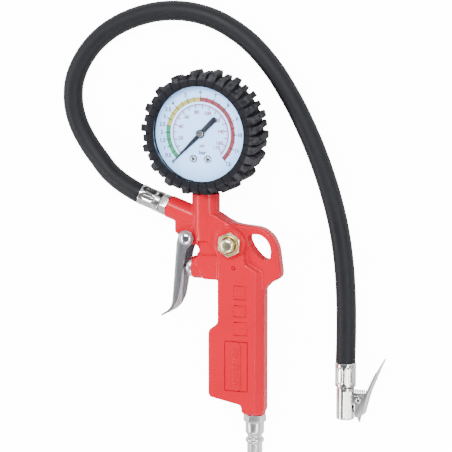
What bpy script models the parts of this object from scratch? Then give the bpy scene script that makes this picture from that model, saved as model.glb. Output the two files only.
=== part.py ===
"""Hand-held tyre inflator: cast gun body, dial gauge in a ribbed rubber guard, trigger valve,
bleed valve, and a short hose with a clip-on air chuck. Metres, +Z up, lying on its back.

Lengths below are in millimetres in the gun's own plane frame: x across the grip, y along the
gun towards the gauge, z up from the gun's middle plane. P() turns them into world metres.
"""
import math

import bmesh
import bpy
from mathutils import Matrix, Vector

for old in list(bpy.data.objects):
    bpy.data.objects.remove(old, do_unlink=True)

MM = 0.001

# ---- where the world origin sits in the gun's plane frame ----
ORIGIN_X = 2.12           # middle of gun and gauge, left to right
ORIGIN_Y = -23.705        # middle of gun and gauge, end to end
TABLE_Z = -14.0           # table surface below the gun's middle plane

# ---- driving dimensions ----
GRIP_HALF = 8.5           # half thickness of the grip
GRIP_LEFT, GRIP_RIGHT = 4.1, 40.2
GRIP_WAIST = 10.4         # left edge of the narrow upper grip
WEB_HALF = 5.2            # half thickness of the web behind the trigger
PLATE_HALF = 4.6          # half thickness of the hanging eye
NECK_R, NECK_TOP = 8.85, 20.4
VALVE_Y, VALVE_R = -27.1, 7.25
OUTLET = (-24.6, 10.7)    # centre of the hose boss face
OUTLET_DEG = 160.4        # direction of the hose boss
OUTLET_R = 7.2
BLEED = (19.8, -9.8)      # bleed valve axis
BOSS_TOP = 9.3            # face below the bleed valve nut
INLET_X, INLET_Y = 32.9, -119.2
PIVOT = (-11.0, -8.2)     # trigger rivet
LEVER_HALF = 7.8          # half width of the trigger lever over its side walls
GAUGE = (0.0, 59.0)       # gauge axis
GUARD_TIP_R, GUARD_ROOT_R = 39.6, 36.4
GUARD_FRONT, GUARD_BACK = 15.5, -14.0
LUGS = 36
WINDOW_R = 30.0
CASE_R, CASE_BACK = 31.4, -11.6
DIAL_Z = 9.0
LENS_Z0, LENS_Z1 = 11.8, 13.6
HOSE_R, HOSE_BORE_R = 6.3, 3.9
HOSE_Z = -7.7             # hose centre height where it lies on the table
CHUCK_Z = -7.3            # chuck centre height, its ferrule resting on the table
CHUCK_X = 90.6            # chuck axis

SEG = 20


def P(x, y, z):
    """Plane frame in millimetres to world metres."""
    return Vector(((x - ORIGIN_X) * MM, (y - ORIGIN_Y) * MM, (z - TABLE_Z) * MM))


# ---------------------------------------------------------------- materials
def material(name, rgb, rough, metal, alpha=1.0):
    m = bpy.data.materials.new(name)
    m.use_nodes = True
    b = m.node_tree.nodes["Principled BSDF"]
    b.inputs["Base Color"].default_value = (rgb[0], rgb[1], rgb[2], 1.0)
    b.inputs["Roughness"].default_value = rough
    b.inputs["Metallic"].default_value = metal
    b.inputs["Alpha"].default_value = alpha
    m.diffuse_color = (rgb[0], rgb[1], rgb[2], alpha)
    return m


RED = (0.78, 0.03, 0.04)
BLACK = (0.025, 0.025, 0.028)
NICKEL = (0.62, 0.60, 0.57)
ZINC = (0.62, 0.66, 0.70)
CHROME = (0.72, 0.73, 0.75)
GOLD = (0.72, 0.62, 0.34)
BRASS = (0.70, 0.52, 0.22)
STEEL = (0.45, 0.45, 0.46)
DARK = (0.05, 0.05, 0.055)
DIAL_WHITE = (0.74, 0.80, 0.92)


# ---------------------------------------------------------------- mesh helpers
def finish(name, bm, mat):
    """Clean the bmesh, put it in an object with its own material, faces outwards."""
    bmesh.ops.remove_doubles(bm, verts=bm.verts, dist=1e-6)
    bmesh.ops.recalc_face_normals(bm, faces=bm.faces)
    me = bpy.data.meshes.new(name)
    bm.to_mesh(me)
    bm.free()
    ob = bpy.data.objects.new(name, me)
    bpy.context.scene.collection.objects.link(ob)
    if mat is not None:
        me.materials.append(material(name + "_mat", *mat))
    return ob


def frame_of(origin, direction):
    """A matrix whose +Z is the direction, placed at a plane-frame point."""
    d = Vector(direction).normalized()
    return Matrix.Translation(P(*origin)) @ d.to_track_quat("Z", "Y").to_matrix().to_4x4()


def lathe(name, profile, origin, direction, mat, seg=SEG):
    """Revolve a closed (radius, height) outline about a line. Radius 0 points weld on the axis."""
    bm = bmesh.new()
    rings = []
    for r, h in profile:
        if r < 1e-6:
            rings.append([bm.verts.new((0, 0, h * MM))])
            continue
        ring = []
        for i in range(seg):
            a = 2 * math.pi * i / seg
            ring.append(bm.verts.new((r * MM * math.cos(a), r * MM * math.sin(a), h * MM)))
        rings.append(ring)
    closed = profile[0][0] > 1e-6
    count = len(rings) if closed else len(rings) - 1
    for k in range(count):
        a = rings[k]
        b = rings[(k + 1) % len(rings)]
        for i in range(seg):
            j = (i + 1) % seg
            if len(a) == 1 and len(b) == 1:
                continue
            if len(a) == 1:
                bm.faces.new((a[0], b[i], b[j]))
            elif len(b) == 1:
                bm.faces.new((a[i], a[j], b[0]))
            else:
                bm.faces.new((a[i], a[j], b[j], b[i]))
    bmesh.ops.transform(bm, matrix=frame_of(origin, direction), verts=bm.verts)
    return finish(name, bm, mat)


def rod(name, r, h0, h1, origin, direction, mat=None, seg=SEG):
    return lathe(name, [(0, h0), (r, h0), (r, h1), (0, h1)], origin, direction, mat, seg)


def prism(name, outline, z0, z1, mat=None, round_mm=0.0, steps=2):
    """Extrude a plane-frame outline from z0 to z1, with rounded front and back rims."""
    bm = bmesh.new()
    low = [bm.verts.new(P(x, y, z0)) for x, y in outline]
    high = [bm.verts.new(P(x, y, z1)) for x, y in outline]
    n = len(outline)
    bm.faces.new(low[::-1])
    bm.faces.new(high)
    for i in range(n):
        bm.faces.new((low[i], low[(i + 1) % n], high[(i + 1) % n], high[i]))
    bmesh.ops.recalc_face_normals(bm, faces=bm.faces)
    if round_mm > 0:
        rim = [e for e in bm.edges if abs(e.verts[0].co.z - e.verts[1].co.z) < 1e-7]
        bmesh.ops.bevel(bm, geom=rim, offset=round_mm * MM, segments=steps, profile=0.5,
                        affect="EDGES", clamp_overlap=True)
    return finish(name, bm, mat)


def ring_points(cx, cy, r, a0, a1, n):
    """Points on an arc, degrees, both ends included."""
    out = []
    for i in range(n + 1):
        a = math.radians(a0 + (a1 - a0) * i / n)
        out.append((cx + r * math.cos(a), cy + r * math.sin(a)))
    return out


def combine(target, others, operation):
    """Exact boolean of the target with each other object, which is used up."""
    for other in others:
        mod = target.modifiers.new("join", "BOOLEAN")
        mod.operation = operation
        mod.solver = "EXACT"
        mod.object = other
        bpy.context.view_layer.update()
        deps = bpy.context.evaluated_depsgraph_get()
        me = bpy.data.meshes.new_from_object(target.evaluated_get(deps))
        target.modifiers.clear()
        old = target.data
        target.data = me
        bpy.data.meshes.remove(old)
        bpy.data.objects.remove(other, do_unlink=True)
    tidy(target)
    return target


def tidy(ob):
    """Weld what a boolean left doubled and drop faces with no area."""
    bm = bmesh.new()
    bm.from_mesh(ob.data)
    bmesh.ops.remove_doubles(bm, verts=bm.verts, dist=2e-5)
    bmesh.ops.dissolve_degenerate(bm, edges=bm.edges, dist=2e-5)
    bmesh.ops.recalc_face_normals(bm, faces=bm.faces)
    bm.to_mesh(ob.data)
    bm.free()


def cut(target, *others):
    return combine(target, others, "DIFFERENCE")


def fuse(target, *others):
    return combine(target, others, "UNION")


def sweep(name, points, radii, mat, seg=16, bore=None):
    """A round tube or bar along world-space points; bore radii make it hollow."""
    bm = bmesh.new()
    n = len(points)
    normal = Vector((0, 0, 1))
    frames = []
    for i in range(n):
        t = (points[min(i + 1, n - 1)] - points[max(i - 1, 0)]).normalized()
        side = t.cross(normal).normalized()
        frames.append((side, side.cross(t).normalized()))

    def skin(rr):
        rings = []
        for i in range(n):
            s, u = frames[i]
            ring = []
            for k in range(seg):
                a = 2 * math.pi * k / seg
                ring.append(bm.verts.new(points[i] + (s * math.cos(a) + u * math.sin(a)) * rr[i]))
            rings.append(ring)
        for i in range(n - 1):
            for k in range(seg):
                j = (k + 1) % seg
                bm.faces.new((rings[i][k], rings[i][j], rings[i + 1][j], rings[i + 1][k]))
        return rings

    outer = skin(radii)
    if bore is None:
        bm.faces.new(outer[0])
        bm.faces.new(outer[-1][::-1])
    else:
        inner = skin(bore)
        for end in (0, -1):
            for k in range(seg):
                j = (k + 1) % seg
                bm.faces.new((outer[end][k], outer[end][j], inner[end][j], inner[end][k]))
    return finish(name, bm, mat)


def coil(name, origin, direction, radius, h0, h1, turns, wire, mat, per_turn=8):
    """A round-wire helical spring standing on a line."""
    m = frame_of(origin, direction)
    count = int(turns * per_turn)
    pts = []
    for i in range(count + 1):
        a = 2 * math.pi * i / per_turn
        h = h0 + wire + (h1 - h0 - 2 * wire) * i / count
        pts.append(m @ Vector((radius * MM * math.cos(a), radius * MM * math.sin(a), h * MM)))
    bm = bmesh.new()
    axis = (m.to_3x3() @ Vector((0, 0, 1))).normalized()
    rings = []
    for i in range(len(pts)):
        t = (pts[min(i + 1, count)] - pts[max(i - 1, 0)]).normalized()
        s = t.cross(axis).normalized()
        u = s.cross(t).normalized()
        ring = []
        for k in range(4):
            a = 2 * math.pi * k / 4
            ring.append(bm.verts.new(pts[i] + (s * math.cos(a) + u * math.sin(a)) * wire * MM))
        rings.append(ring)
    for i in range(count):
        for k in range(4):
            j = (k + 1) % 4
            bm.faces.new((rings[i][k], rings[i][j], rings[i + 1][j], rings[i + 1][k]))
    bm.faces.new(rings[0])
    bm.faces.new(rings[-1][::-1])
    return finish(name, bm, mat)


def hexagon(name, across_flats, h0, h1, origin, direction, mat=None, turn=0.0, chamfer=0.5):
    """A hexagon prism with its six corners relieved at both ends."""
    r = across_flats / math.sqrt(3)
    ob = lathe(name, [(0, h0), (r - chamfer, h0), (r, h0 + chamfer * 0.6),
                      (r, h1 - chamfer * 0.6), (r - chamfer, h1), (0, h1)],
               (0, 0, 0), (0, 0, 1), mat, 6)
    spin = Matrix.Rotation(math.radians(turn), 4, "Z")
    ob.data.transform(frame_of(origin, direction) @ spin @ frame_of((0, 0, 0), (0, 0, 1)).inverted())
    return ob


def empty(name, point):
    e = bpy.data.objects.new(name, None)
    e.empty_display_size = 0.01
    e.location = P(*point)
    bpy.context.scene.collection.objects.link(e)
    return e


def hang(ob, parent):
    """Parent an object without moving it."""
    ob.parent = parent
    ob.matrix_parent_inverse = Matrix.Translation(parent.location).inverted()


# ---------------------------------------------------------------- gun body
def gun_body():
    grip = [(GRIP_WAIST, -22.0), (GRIP_WAIST, -60.4), (9.0, -62.4), (4.9, -65.3), (GRIP_LEFT, -67.6),
            (GRIP_LEFT, -108.2), (5.6, -110.4), (22.6, -113.9), (24.4, -115.2), (25.4, -116.8),
            (27.4, -118.2), (38.0, -118.2), (GRIP_RIGHT, -116.4), (GRIP_RIGHT, -38.4),
            (43.0, -34.8), (43.0, -30.0), (28.0, -22.0)]
    body = prism("gun_body", grip, -GRIP_HALF, GRIP_HALF, (RED, 0.25, 0.0), 3.2, 3)
    core = [(-5.5, -14.0), (-3.0, -17.5), (-6.6, -21.0), (0.0, -33.9), (12.0, -34.0), (28.0, -33.0),
            (29.0, -22.0), (27.6, -9.0), (22.0, 1.2), (14.0, 4.6), (8.6, 8.0), (4.0, 9.0),
            (-3.0, 3.0)]
    core_z = GRIP_HALF - 1.2
    core = prism("core", core, -core_z, core_z, None, 1.6, 2)
    lug = [(-19.6, 3.5), (-19.6, -4.6), (-15.4, -8.6), (-13.4, -12.4), (-9.2, -13.0), (-7.6, -12.2)]
    lug += ring_points(-5.6, -15.0, 3.1, 130, -130, 8)
    lug += [(-7.2, -19.0), (-6.0, -30.0), (4.0, -32.0), (16.0, -20.0), (6.0, 6.0), (-8.0, 9.0)]
    lug = prism("lug", lug, -WEB_HALF, WEB_HALF, None, 0.8, 1)
    eye = [(18.0, 3.2), (23.4, 2.0), (36.6, 0.9), (40.3, -0.4), (45.2, -4.2), (47.6, -8.0),
           (49.2, -12.2), (51.2, -27.2), (51.0, -29.8), (49.2, -31.7), (43.6, -34.4), (40.6, -38.6),
           (30.0, -42.0), (20.0, -30.0)]
    eye = prism("eye", eye, -PLATE_HALF, PLATE_HALF, None, 1.8, 2)
    neck = rod("neck", NECK_R, -2.4, NECK_TOP, (0, 0, 0), (0, 1, 0))
    valve = rod("valve_boss", VALVE_R, -7.7, 22.0, (0, VALVE_Y, 0), (1, 0, 0))
    d = (math.cos(math.radians(OUTLET_DEG)), math.sin(math.radians(OUTLET_DEG)), 0)
    outlet = rod("outlet_boss", OUTLET_R, -26.0, 0.0, (OUTLET[0], OUTLET[1], 0), d)
    boss = rod("bleed_boss", 9.6, 0.0, BOSS_TOP, (BLEED[0], BLEED[1], 0), (0, 0, 1))
    foot = rod("inlet_boss", 7.3, 108.0, -INLET_Y, (INLET_X, 0, 0), (0, -1, 0))
    fuse(body, core, eye, lug, neck, valve, outlet, boss, foot)

    hole = [(30.4, -4.0), (29.4, -6.0), (29.6, -8.6), (32.2, -13.2), (36.8, -18.1), (39.6, -19.7),
            (43.0, -19.8), (44.5, -17.8), (44.8, -13.2), (44.2, -10.4), (42.0, -6.6),
            (38.9, -4.2), (35.6, -3.4)]
    hole = prism("hole", hole, -12.0, 12.0)
    pockets = [
        prism("panel", [(15.4, -104.2), (31.0, -104.2), (31.0, -71.9), (15.4, -71.9)],
              GRIP_HALF - 0.6, GRIP_HALF + 2),
        prism("step_a", [(21.5, -45.3), (29.8, -45.3), (29.8, -36.2), (21.5, -36.2)],
              GRIP_HALF - 0.5, GRIP_HALF + 2),
        prism("step_b", [(21.5, -56.5), (29.9, -56.5), (29.9, -48.7), (21.5, -48.7)],
              GRIP_HALF - 0.5, GRIP_HALF + 2),
        prism("step_c", [(21.5, -68.3), (30.6, -68.3), (30.6, -59.4), (21.5, -59.4)],
              GRIP_HALF - 0.5, GRIP_HALF + 2),
    ]
    cut(body, hole, *pockets)
    pill = ring_points(23.2, -75.2, 3.0, 180, 0, 8) + ring_points(23.2, -101.0, 3.0, 0, -180, 8)
    fuse(body, prism("pill", pill, GRIP_HALF - 1.5, GRIP_HALF + 0.1))

    bores = [
        lathe("b_inlet", [(0, -VALVE_Y), (3.5, -VALVE_Y), (3.5, 106.0), (5.4, 106.0), (5.4, 125.0),
                          (0, 125.0)], (INLET_X, 0, 0), (0, -1, 0), None),
        lathe("b_valve", [(0, -12.0), (4.9, -12.0), (4.9, 28.0), (2.3, 28.0), (2.3, 34.0), (0, 34.0)],
              (0, VALVE_Y, 0), (1, 0, 0), None),
        lathe("b_neck", [(0, VALVE_Y), (2.4, VALVE_Y), (2.4, 8.0), (5.2, 8.0), (5.2, 30.0), (0, 30.0)],
              (0, 0, 0), (0, 1, 0), None),
        lathe("b_outlet", [(0, -26.5), (2.2, -26.5), (2.2, -11.0), (4.9, -11.0), (4.9, 5.0), (0, 5.0)],
              (OUTLET[0], OUTLET[1], 0), d, None),
        rod("b_bleed", 5.2, -6.4, 14.0, (BLEED[0], BLEED[1], 0), (0, 0, 1)),
        rod("b_bleed_link", 1.5, 0.7, BLEED[0] - 1.0, (0, BLEED[1], -3.2), (1, 0, 0), None, 12),
        rod("b_pivot", 2.3, -12.0, 12.0, (PIVOT[0], PIVOT[1], 0), (0, 0, 1), None, 16),
    ]
    cut(body, *bores)
    return body


# ---------------------------------------------------------------- inlet
def inlet():
    o, d = (INLET_X, 0, 0), (0, -1, 0)
    hexa = hexagon("inlet_nipple", 12.7, 119.5, 124.6, o, d, (NICKEL, 0.28, 1.0), 12)
    shank = lathe("shank", [(2.9, 107.0), (5.1, 107.0), (5.1, 119.6), (5.8, 124.0), (5.8, 131.3),
                            (4.6, 133.1), (4.6, 134.6), (5.9, 135.4), (5.9, 137.2), (4.9, 138.4),
                            (4.9, 145.0), (4.3, 146.0), (3.6, 146.0), (2.9, 145.0)], o, d, None, SEG)
    hexa = cut(hexa, rod("core", 4.2, 110.0, 130.0, o, d))
    nip = fuse(hexa, shank)
    nip.name = "inlet_nipple"
    lathe("inlet_seal", [(3.6, 106.1), (5.2, 106.1), (5.2, 106.8), (3.6, 106.8)], o, d,
          (DARK, 0.7, 0.0), SEG)


# ---------------------------------------------------------------- trigger valve
def trigger_valve():
    o, d = (0, VALVE_Y, 0), (1, 0, 0)
    nut = lathe("valve_gland_nut", [(1.8, -11.3), (6.0, -11.3), (6.4, -10.7), (6.4, -8.3), (6.0, -8.0),
                                    (4.6, -8.0), (4.6, 11.0), (2.6, 11.0), (2.6, -4.0), (1.8, -4.0)],
                o, d, (ZINC, 0.3, 1.0))
    cut(nut, rod("port", 1.7, -8.0, 8.0, (0, VALVE_Y, 0), (0, 1, 0), None, 16))
    stem = lathe("valve_stem", [(0, -16.6), (1.2, -16.6), (1.5, -16.1), (1.5, 13.1), (4.0, 13.1),
                                (4.0, 14.6), (1.6, 14.6), (1.6, 17.5), (0, 17.5)],
                 o, d, (STEEL, 0.3, 1.0), 16)
    seat = lathe("valve_seat", [(1.8, 11.3), (4.0, 11.3), (4.0, 12.8), (1.8, 12.8)], o, d,
                 (DARK, 0.7, 0.0), 16)
    spring = coil("valve_spring", o, d, 3.2, 14.9, 27.6, 5, 0.4, (STEEL, 0.35, 1.0))

    hub = (PIVOT[0], PIVOT[1])
    eye_arc = ring_points(hub[0], hub[1], 5.2, -35, 150, 10)
    outline = [(-27.5, -59.0), (-23.0, -56.7), (-19.4, -53.4), (-16.2, -47.0), (-14.9, -40.0),
               (-13.2, -28.0), (-10.6, -15.4)]
    outline += eye_arc
    outline += [(-17.1, -10.4), (-18.3, -26.0), (-19.2, -38.0), (-20.3, -50.0), (-21.3, -52.8),
                (-23.6, -55.2), (-28.0, -57.9)]
    lever = prism("trigger_lever", outline, -LEVER_HALF, LEVER_HALF, (CHROME, 0.22, 1.0))
    channel = prism("channel", [(-19.3, -53.6), (-4.0, -53.6), (-4.0, 0.0), (-20.0, 0.0),
                                (-20.0, -10.2), (-15.9, -10.2), (-17.1, -26.0), (-18.0, -38.0),
                                (-19.1, -49.8)], 1.1 - LEVER_HALF, LEVER_HALF - 1.1)
    cut(lever, channel)
    cut(lever, rod("eye_bore", 2.3, -12.0, 12.0, (PIVOT[0], PIVOT[1], 0), (0, 0, 1), None, 24))

    lathe("trigger_pin", [(0, -10.2), (2.2, -9.9), (3.7, -9.1), (4.3, -8.0), (2.0, -8.0),
                          (2.0, 8.0), (4.3, 8.0), (3.7, 9.1), (2.2, 9.9), (0, 10.2)],
          (PIVOT[0], PIVOT[1], 0), (0, 0, 1), (CHROME, 0.12, 1.0), 16)
    hinge = empty("trigger_axis", (PIVOT[0], PIVOT[1], 0))
    hang(lever, hinge)
    slide = empty("valve_axis", (0, VALVE_Y, 0))
    hang(stem, slide)
    hang(seat, slide)


# ---------------------------------------------------------------- bleed valve
def bleed_valve():
    o, d = (BLEED[0], BLEED[1], 0), (0, 0, 1)
    nut = hexagon("bleed_valve_nut", 14.0, BOSS_TOP + 0.1, 13.5, o, d, (GOLD, 0.3, 1.0), 85)
    cut(nut, rod("core", 4.9, 5.0, 16.0, o, d))
    sleeve = lathe("sleeve", [(4.5, 14.4), (5.5, 14.4), (5.7, 14.1), (5.7, 13.0), (4.95, 12.0),
                              (4.95, 1.0), (2.4, 1.0), (2.4, 4.0), (4.5, 4.0)], o, d, None, SEG)
    nut = fuse(nut, sleeve)
    nut.name = "bleed_valve_nut"
    button = lathe("bleed_button", [(0, 18.2), (2.7, 18.2), (4.2, 16.9), (4.2, 8.2), (2.0, 8.2),
                                    (2.0, -1.6), (3.6, -1.6), (3.6, -2.8), (0, -2.8)],
                   o, d, (GOLD, 0.28, 1.0), SEG)
    coil("bleed_spring", o, d, 3.1, 4.05, 8.15, 3, 0.3, (STEEL, 0.35, 1.0))
    seal = lathe("bleed_seal", [(2.2, 0.8), (3.6, 0.8), (3.6, -1.3), (2.2, -1.3)], o, d,
                 (DARK, 0.7, 0.0), 16)
    slide = empty("bleed_axis", (BLEED[0], BLEED[1], 0))
    hang(button, slide)
    hang(seal, slide)


# ---------------------------------------------------------------- gauge
def guard():
    """Rubber guard: one closed ring whose outside carries slanted tread lugs."""
    rows = [(WINDOW_R, 14.1, 0, 0.0), (WINDOW_R + 0.8, GUARD_FRONT, 0, 0.0),
            (35.0, GUARD_FRONT, 0.0, 0.0), (GUARD_ROOT_R, 12.6, 1.0, 0.2),
            (GUARD_ROOT_R, -9.6, 1.0, 3.6), (32.8, GUARD_BACK, 0, 3.6), (31.9, GUARD_BACK, 0, 3.6),
            (31.9, 14.1, 0, 0.0)]
    pitch = 2 * math.pi / LUGS
    shape = [(0.00, 0.0), (0.14, 1.0), (0.52, 1.0), (0.66, 0.0)]
    height = GUARD_TIP_R - GUARD_ROOT_R
    bm = bmesh.new()
    rings = []
    for radius, z, lug, slant in rows:
        ring = []
        for k in range(LUGS):
            for part, rise in shape:
                a = (k + part) * pitch + math.radians(slant)
                r = (radius + height * lug * rise) * MM
                ring.append(bm.verts.new(P(*GAUGE, z) + Vector((r * math.cos(a), r * math.sin(a), 0))))
        rings.append(ring)
    n = LUGS * len(shape)
    for i in range(len(rings)):
        a, b = rings[i], rings[(i + 1) % len(rings)]
        for k in range(n):
            j = (k + 1) % n
            bm.faces.new((a[k], a[j], b[j], b[k]))
    ob = finish("gauge_guard", bm, (BLACK, 0.75, 0.0))
    flat = prism("flat", [(-12, 15), (12, 15), (12, 21.0), (-12, 21.0)], -20, 20)
    stem = rod("stem_hole", 6.4, 10.0, 36.0, (0, 0, 0), (0, 1, 0))
    return cut(ob, flat, stem)


def gauge():
    gx, gy = GAUGE
    o, d = (gx, gy, 0), (0, 0, 1)
    guard()
    case = lathe("gauge_case", [(0, CASE_BACK), (29.8, CASE_BACK), (CASE_R, CASE_BACK + 1.6),
                                (CASE_R, 13.8), (30.9, 13.8), (30.9, CASE_BACK + 1.2),
                                (0, CASE_BACK + 0.8)], o, d, (DARK, 0.45, 0.3), 40)
    cut(case, rod("stem_hole", 5.6, 20.0, 36.0, (0, 0, 0), (0, 1, 0)))
    lathe("gauge_lens", [(0, LENS_Z0), (30.6, LENS_Z0), (30.6, LENS_Z1), (0, LENS_Z1)], o, d,
          ((0.9, 0.95, 1.0), 0.05, 0.0, 0.2), 40)
    dial = lathe("gauge_dial", [(0, DIAL_Z), (30.2, DIAL_Z), (30.2, DIAL_Z + 0.5), (0, DIAL_Z + 0.5)],
                 o, d, (DIAL_WHITE, 0.4, 0.0), 40)
    holes = [rod("arbor_hole", 1.2, 5.0, 12.0, o, d, None, 16)]
    for sx in (-4.8, 4.8):
        holes.append(rod("screw_hole", 1.0, 5.0, 12.0, (gx + sx, gy - 15.8, 0), d, None, 16))
    cut(dial, *holes)
    for name, sx in (("dial_screw_left", -4.8), ("dial_screw_right", 4.8)):
        lathe(name, [(0, 6.4), (0.8, 6.4), (0.8, 9.6), (1.8, 9.6), (1.8, 10.1), (1.2, 10.5), (0, 10.6)],
              (gx + sx, gy - 15.8, 0), d, (CHROME, 0.25, 1.0), 16)

    socket = prism("gauge_socket", [(gx - 6, 31.5), (gx + 6, 31.5), (gx + 6, 43.6), (gx - 6, 43.6)],
                   -6.0, 0.6, (BRASS, 0.35, 1.0))
    stem = lathe("stem", [(0, 9.0), (4.9, 9.0), (4.9, 20.9), (5.2, 21.0), (5.2, 33.0), (0, 33.0)],
                 (0, 0, 0), (0, 1, 0), None, SEG)
    fuse(socket, stem)
    post = rod("post_a", 1.9, 0.0, 6.0, (gx - 4.8, gy - 15.8, 0), d, None, 16)
    post2 = rod("post_b", 1.9, 0.0, 6.0, (gx + 4.8, gy - 15.8, 0), d, None, 16)
    fuse(socket, post, post2)
    cut(socket, rod("way", 1.6, 5.0, 38.0, (0, 0, -2.7), (0, 1, 0), None, 16),
        rod("feed", 1.2, -2.0, 8.0, (gx, 38.0, -2.7), (1, 0, 0), None, 16))

    pts = []
    radii = []
    for i in range(25):
        a = math.radians(-68 + 250 * i / 24)
        pts.append(P(gx + 21.0 * math.cos(a), gy + 21.0 * math.sin(a), -4.0))
        radii.append(2.0 * MM)
    tube = sweep("bourdon_tube", pts, radii, (BRASS, 0.35, 1.0), 10)
    for v in tube.data.vertices:
        c = P(gx, gy, 0)
        away = Vector((v.co.x - c.x, v.co.y - c.y, 0))
        dist = away.length
        squeezed = 0.021 + (dist - 0.021) * 0.55
        v.co.x = c.x + away.x / dist * squeezed
        v.co.y = c.y + away.y / dist * squeezed

    plate = [(gx - 13, gy - 4.5), (gx + 5.5, gy - 4.5), (gx + 5.5, gy + 5.5), (gx - 13, gy + 5.5)]
    low = prism("movement_frame", plate, -2.0, -1.0, (BRASS, 0.35, 1.0))
    top = prism("top_plate", plate, 5.0, 6.0)
    pillar_a = rod("pillar_a", 1.0, -1.5, 5.5, (gx + 4.0, gy + 4.0, 0), d, None, 12)
    pillar_b = rod("pillar_b", 1.0, -1.5, 5.5, (gx - 11.6, gy + 4.0, 0), d, None, 12)
    frame = fuse(low, pillar_a, pillar_b, top)
    pivot = (gx - 10.5, gy - 2.0)
    cut(frame, rod("arbor_low", 0.8, -4, 8, o, d, None, 12),
        rod("sector_low", 0.8, -4, 8, (pivot[0], pivot[1], 0), d, None, 12))

    reach = math.hypot(10.5, 2.0) - 2.0 - 0.25
    mid = math.degrees(math.atan2(2.0, 10.5))
    arc = ring_points(pivot[0], pivot[1], reach, mid - 72, mid + 6, 12)
    arc += ring_points(pivot[0], pivot[1], 1.8, mid + 66, mid + 228, 6)
    sector = prism("sector_gear", arc, 1.6, 2.6, (BRASS, 0.35, 1.0))
    fuse(sector, rod("sector_arbor", 0.7, -1.8, 5.8, (pivot[0], pivot[1], 0), d, None, 12))
    pinion = lathe("pinion_arbor", [(0, -1.8), (0.7, -1.8), (0.7, 0.8), (2.0, 0.8), (2.0, 3.4),
                                    (0.7, 3.4), (0.7, 11.0), (0, 11.0)], o, d, (STEEL, 0.3, 1.0), 16)

    aim = math.radians(225)
    ax, ay = math.cos(aim), math.sin(aim)

    def along(s, t):
        return (gx + ax * s - ay * t, gy + ay * s + ax * t)

    tail = [along(-13.0 + 1.7 * (1 - math.sin(math.radians(b))), 1.7 * math.cos(math.radians(b)))
            for b in (0, 30, 60, 90, 120, 150, 180)]
    hand = [along(23.5, 0.12), along(2.0, 1.0)] + tail + [along(2.0, -1.0), along(23.5, -0.12)]
    pointer = prism("pointer", hand, 10.0, 10.5, (DARK, 0.4, 0.0))
    fuse(pointer, lathe("hub", [(0, 9.9), (2.65, 9.9), (2.65, 10.9), (2.1, 11.3), (0, 11.3)], o, d,
                        None, 16))
    cut(pointer, rod("hub_bore", 0.75, 9.0, 11.05, o, d, None, 16))
    spin = empty("pointer_axis", (gx, gy, 0))
    hang(pinion, spin)
    hang(pointer, spin)
    swing = empty("sector_axis", (pivot[0], pivot[1], 0))
    hang(sector, swing)


# ---------------------------------------------------------------- hose and chuck
def hose_route():
    """Centre line from the gun's ferrule round to the chuck, smoothed through stated points."""
    knots = [(-57.0, 23.6, -1.8), (-67.0, 30.0, -4.0), (-75.6, 38.6, -6.2), (-83.0, 47.4, -7.4),
             (-90.0, 59.4, HOSE_Z), (-93.6, 72.0, HOSE_Z), (-93.3, 86.0, HOSE_Z), (-88.6, 98.6, HOSE_Z),
             (-79.4, 111.4, HOSE_Z), (-67.0, 121.6, HOSE_Z), (-50.0, 129.6, HOSE_Z),
             (-31.0, 133.8, HOSE_Z), (-12.0, 133.4, HOSE_Z), (6.0, 128.3, HOSE_Z), (25.4, 116.6, HOSE_Z),
             (41.1, 100.5, HOSE_Z), (53.5, 82.2, HOSE_Z), (64.0, 62.7, HOSE_Z), (72.9, 42.5, HOSE_Z),
             (80.2, 21.6, HOSE_Z), (85.7, 0.2, HOSE_Z), (89.0, -21.9, HOSE_Z), (90.5, -44.3, HOSE_Z),
             (90.8, -66.9, -7.5)]
    d = Vector((math.cos(math.radians(OUTLET_DEG)), math.sin(math.radians(OUTLET_DEG)), 0))
    start = [Vector((OUTLET[0], OUTLET[1], 0)) + d * s for s in (8.2, 20.9, 22.2)]
    end = [Vector((CHUCK_X, y, CHUCK_Z)) for y in (-81.6, -83.0, -96.4)]
    return start, [Vector(k) for k in knots], end


def hose():
    start, knots, end = hose_route()
    line = start + knots + end
    pts = [P(*p) for p in line]
    radii = [HOSE_R * MM] * len(pts)
    for i in (0, 1, len(pts) - 2, len(pts) - 1):
        radii[i] = (HOSE_R - 0.6) * MM
    bore = [HOSE_BORE_R * MM] * len(pts)
    sweep("hose", pts, radii, (BLACK, 0.6, 0.0), 12, bore)


def hose_fitting():
    d = (math.cos(math.radians(OUTLET_DEG)), math.sin(math.radians(OUTLET_DEG)), 0)
    o = (OUTLET[0], OUTLET[1], 0)
    hexa = hexagon("hose_fitting", 12.0, 0.4, 5.6, o, d, (NICKEL, 0.25, 1.0), 30)
    cut(hexa, rod("core", 4.0, -2.0, 8.0, o, d))
    tail = lathe("tail", [(2.0, -10.0), (4.6, -10.0), (4.6, 1.0), (4.4, 5.0), (3.5, 6.2), (3.5, 22.0),
                          (3.2, 22.6), (2.0, 22.6)], o, d, None, 24)
    fitting = fuse(hexa, tail)
    fitting.name = "hose_fitting"
    lathe("hose_ferrule_gun", [(4.2, 5.95), (6.5, 5.95), (6.65, 6.6), (6.65, 19.9), (6.3, 20.5),
                               (5.95, 20.2), (5.95, 7.2), (4.2, 7.2)], o, d, (NICKEL, 0.22, 1.0), SEG)


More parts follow.
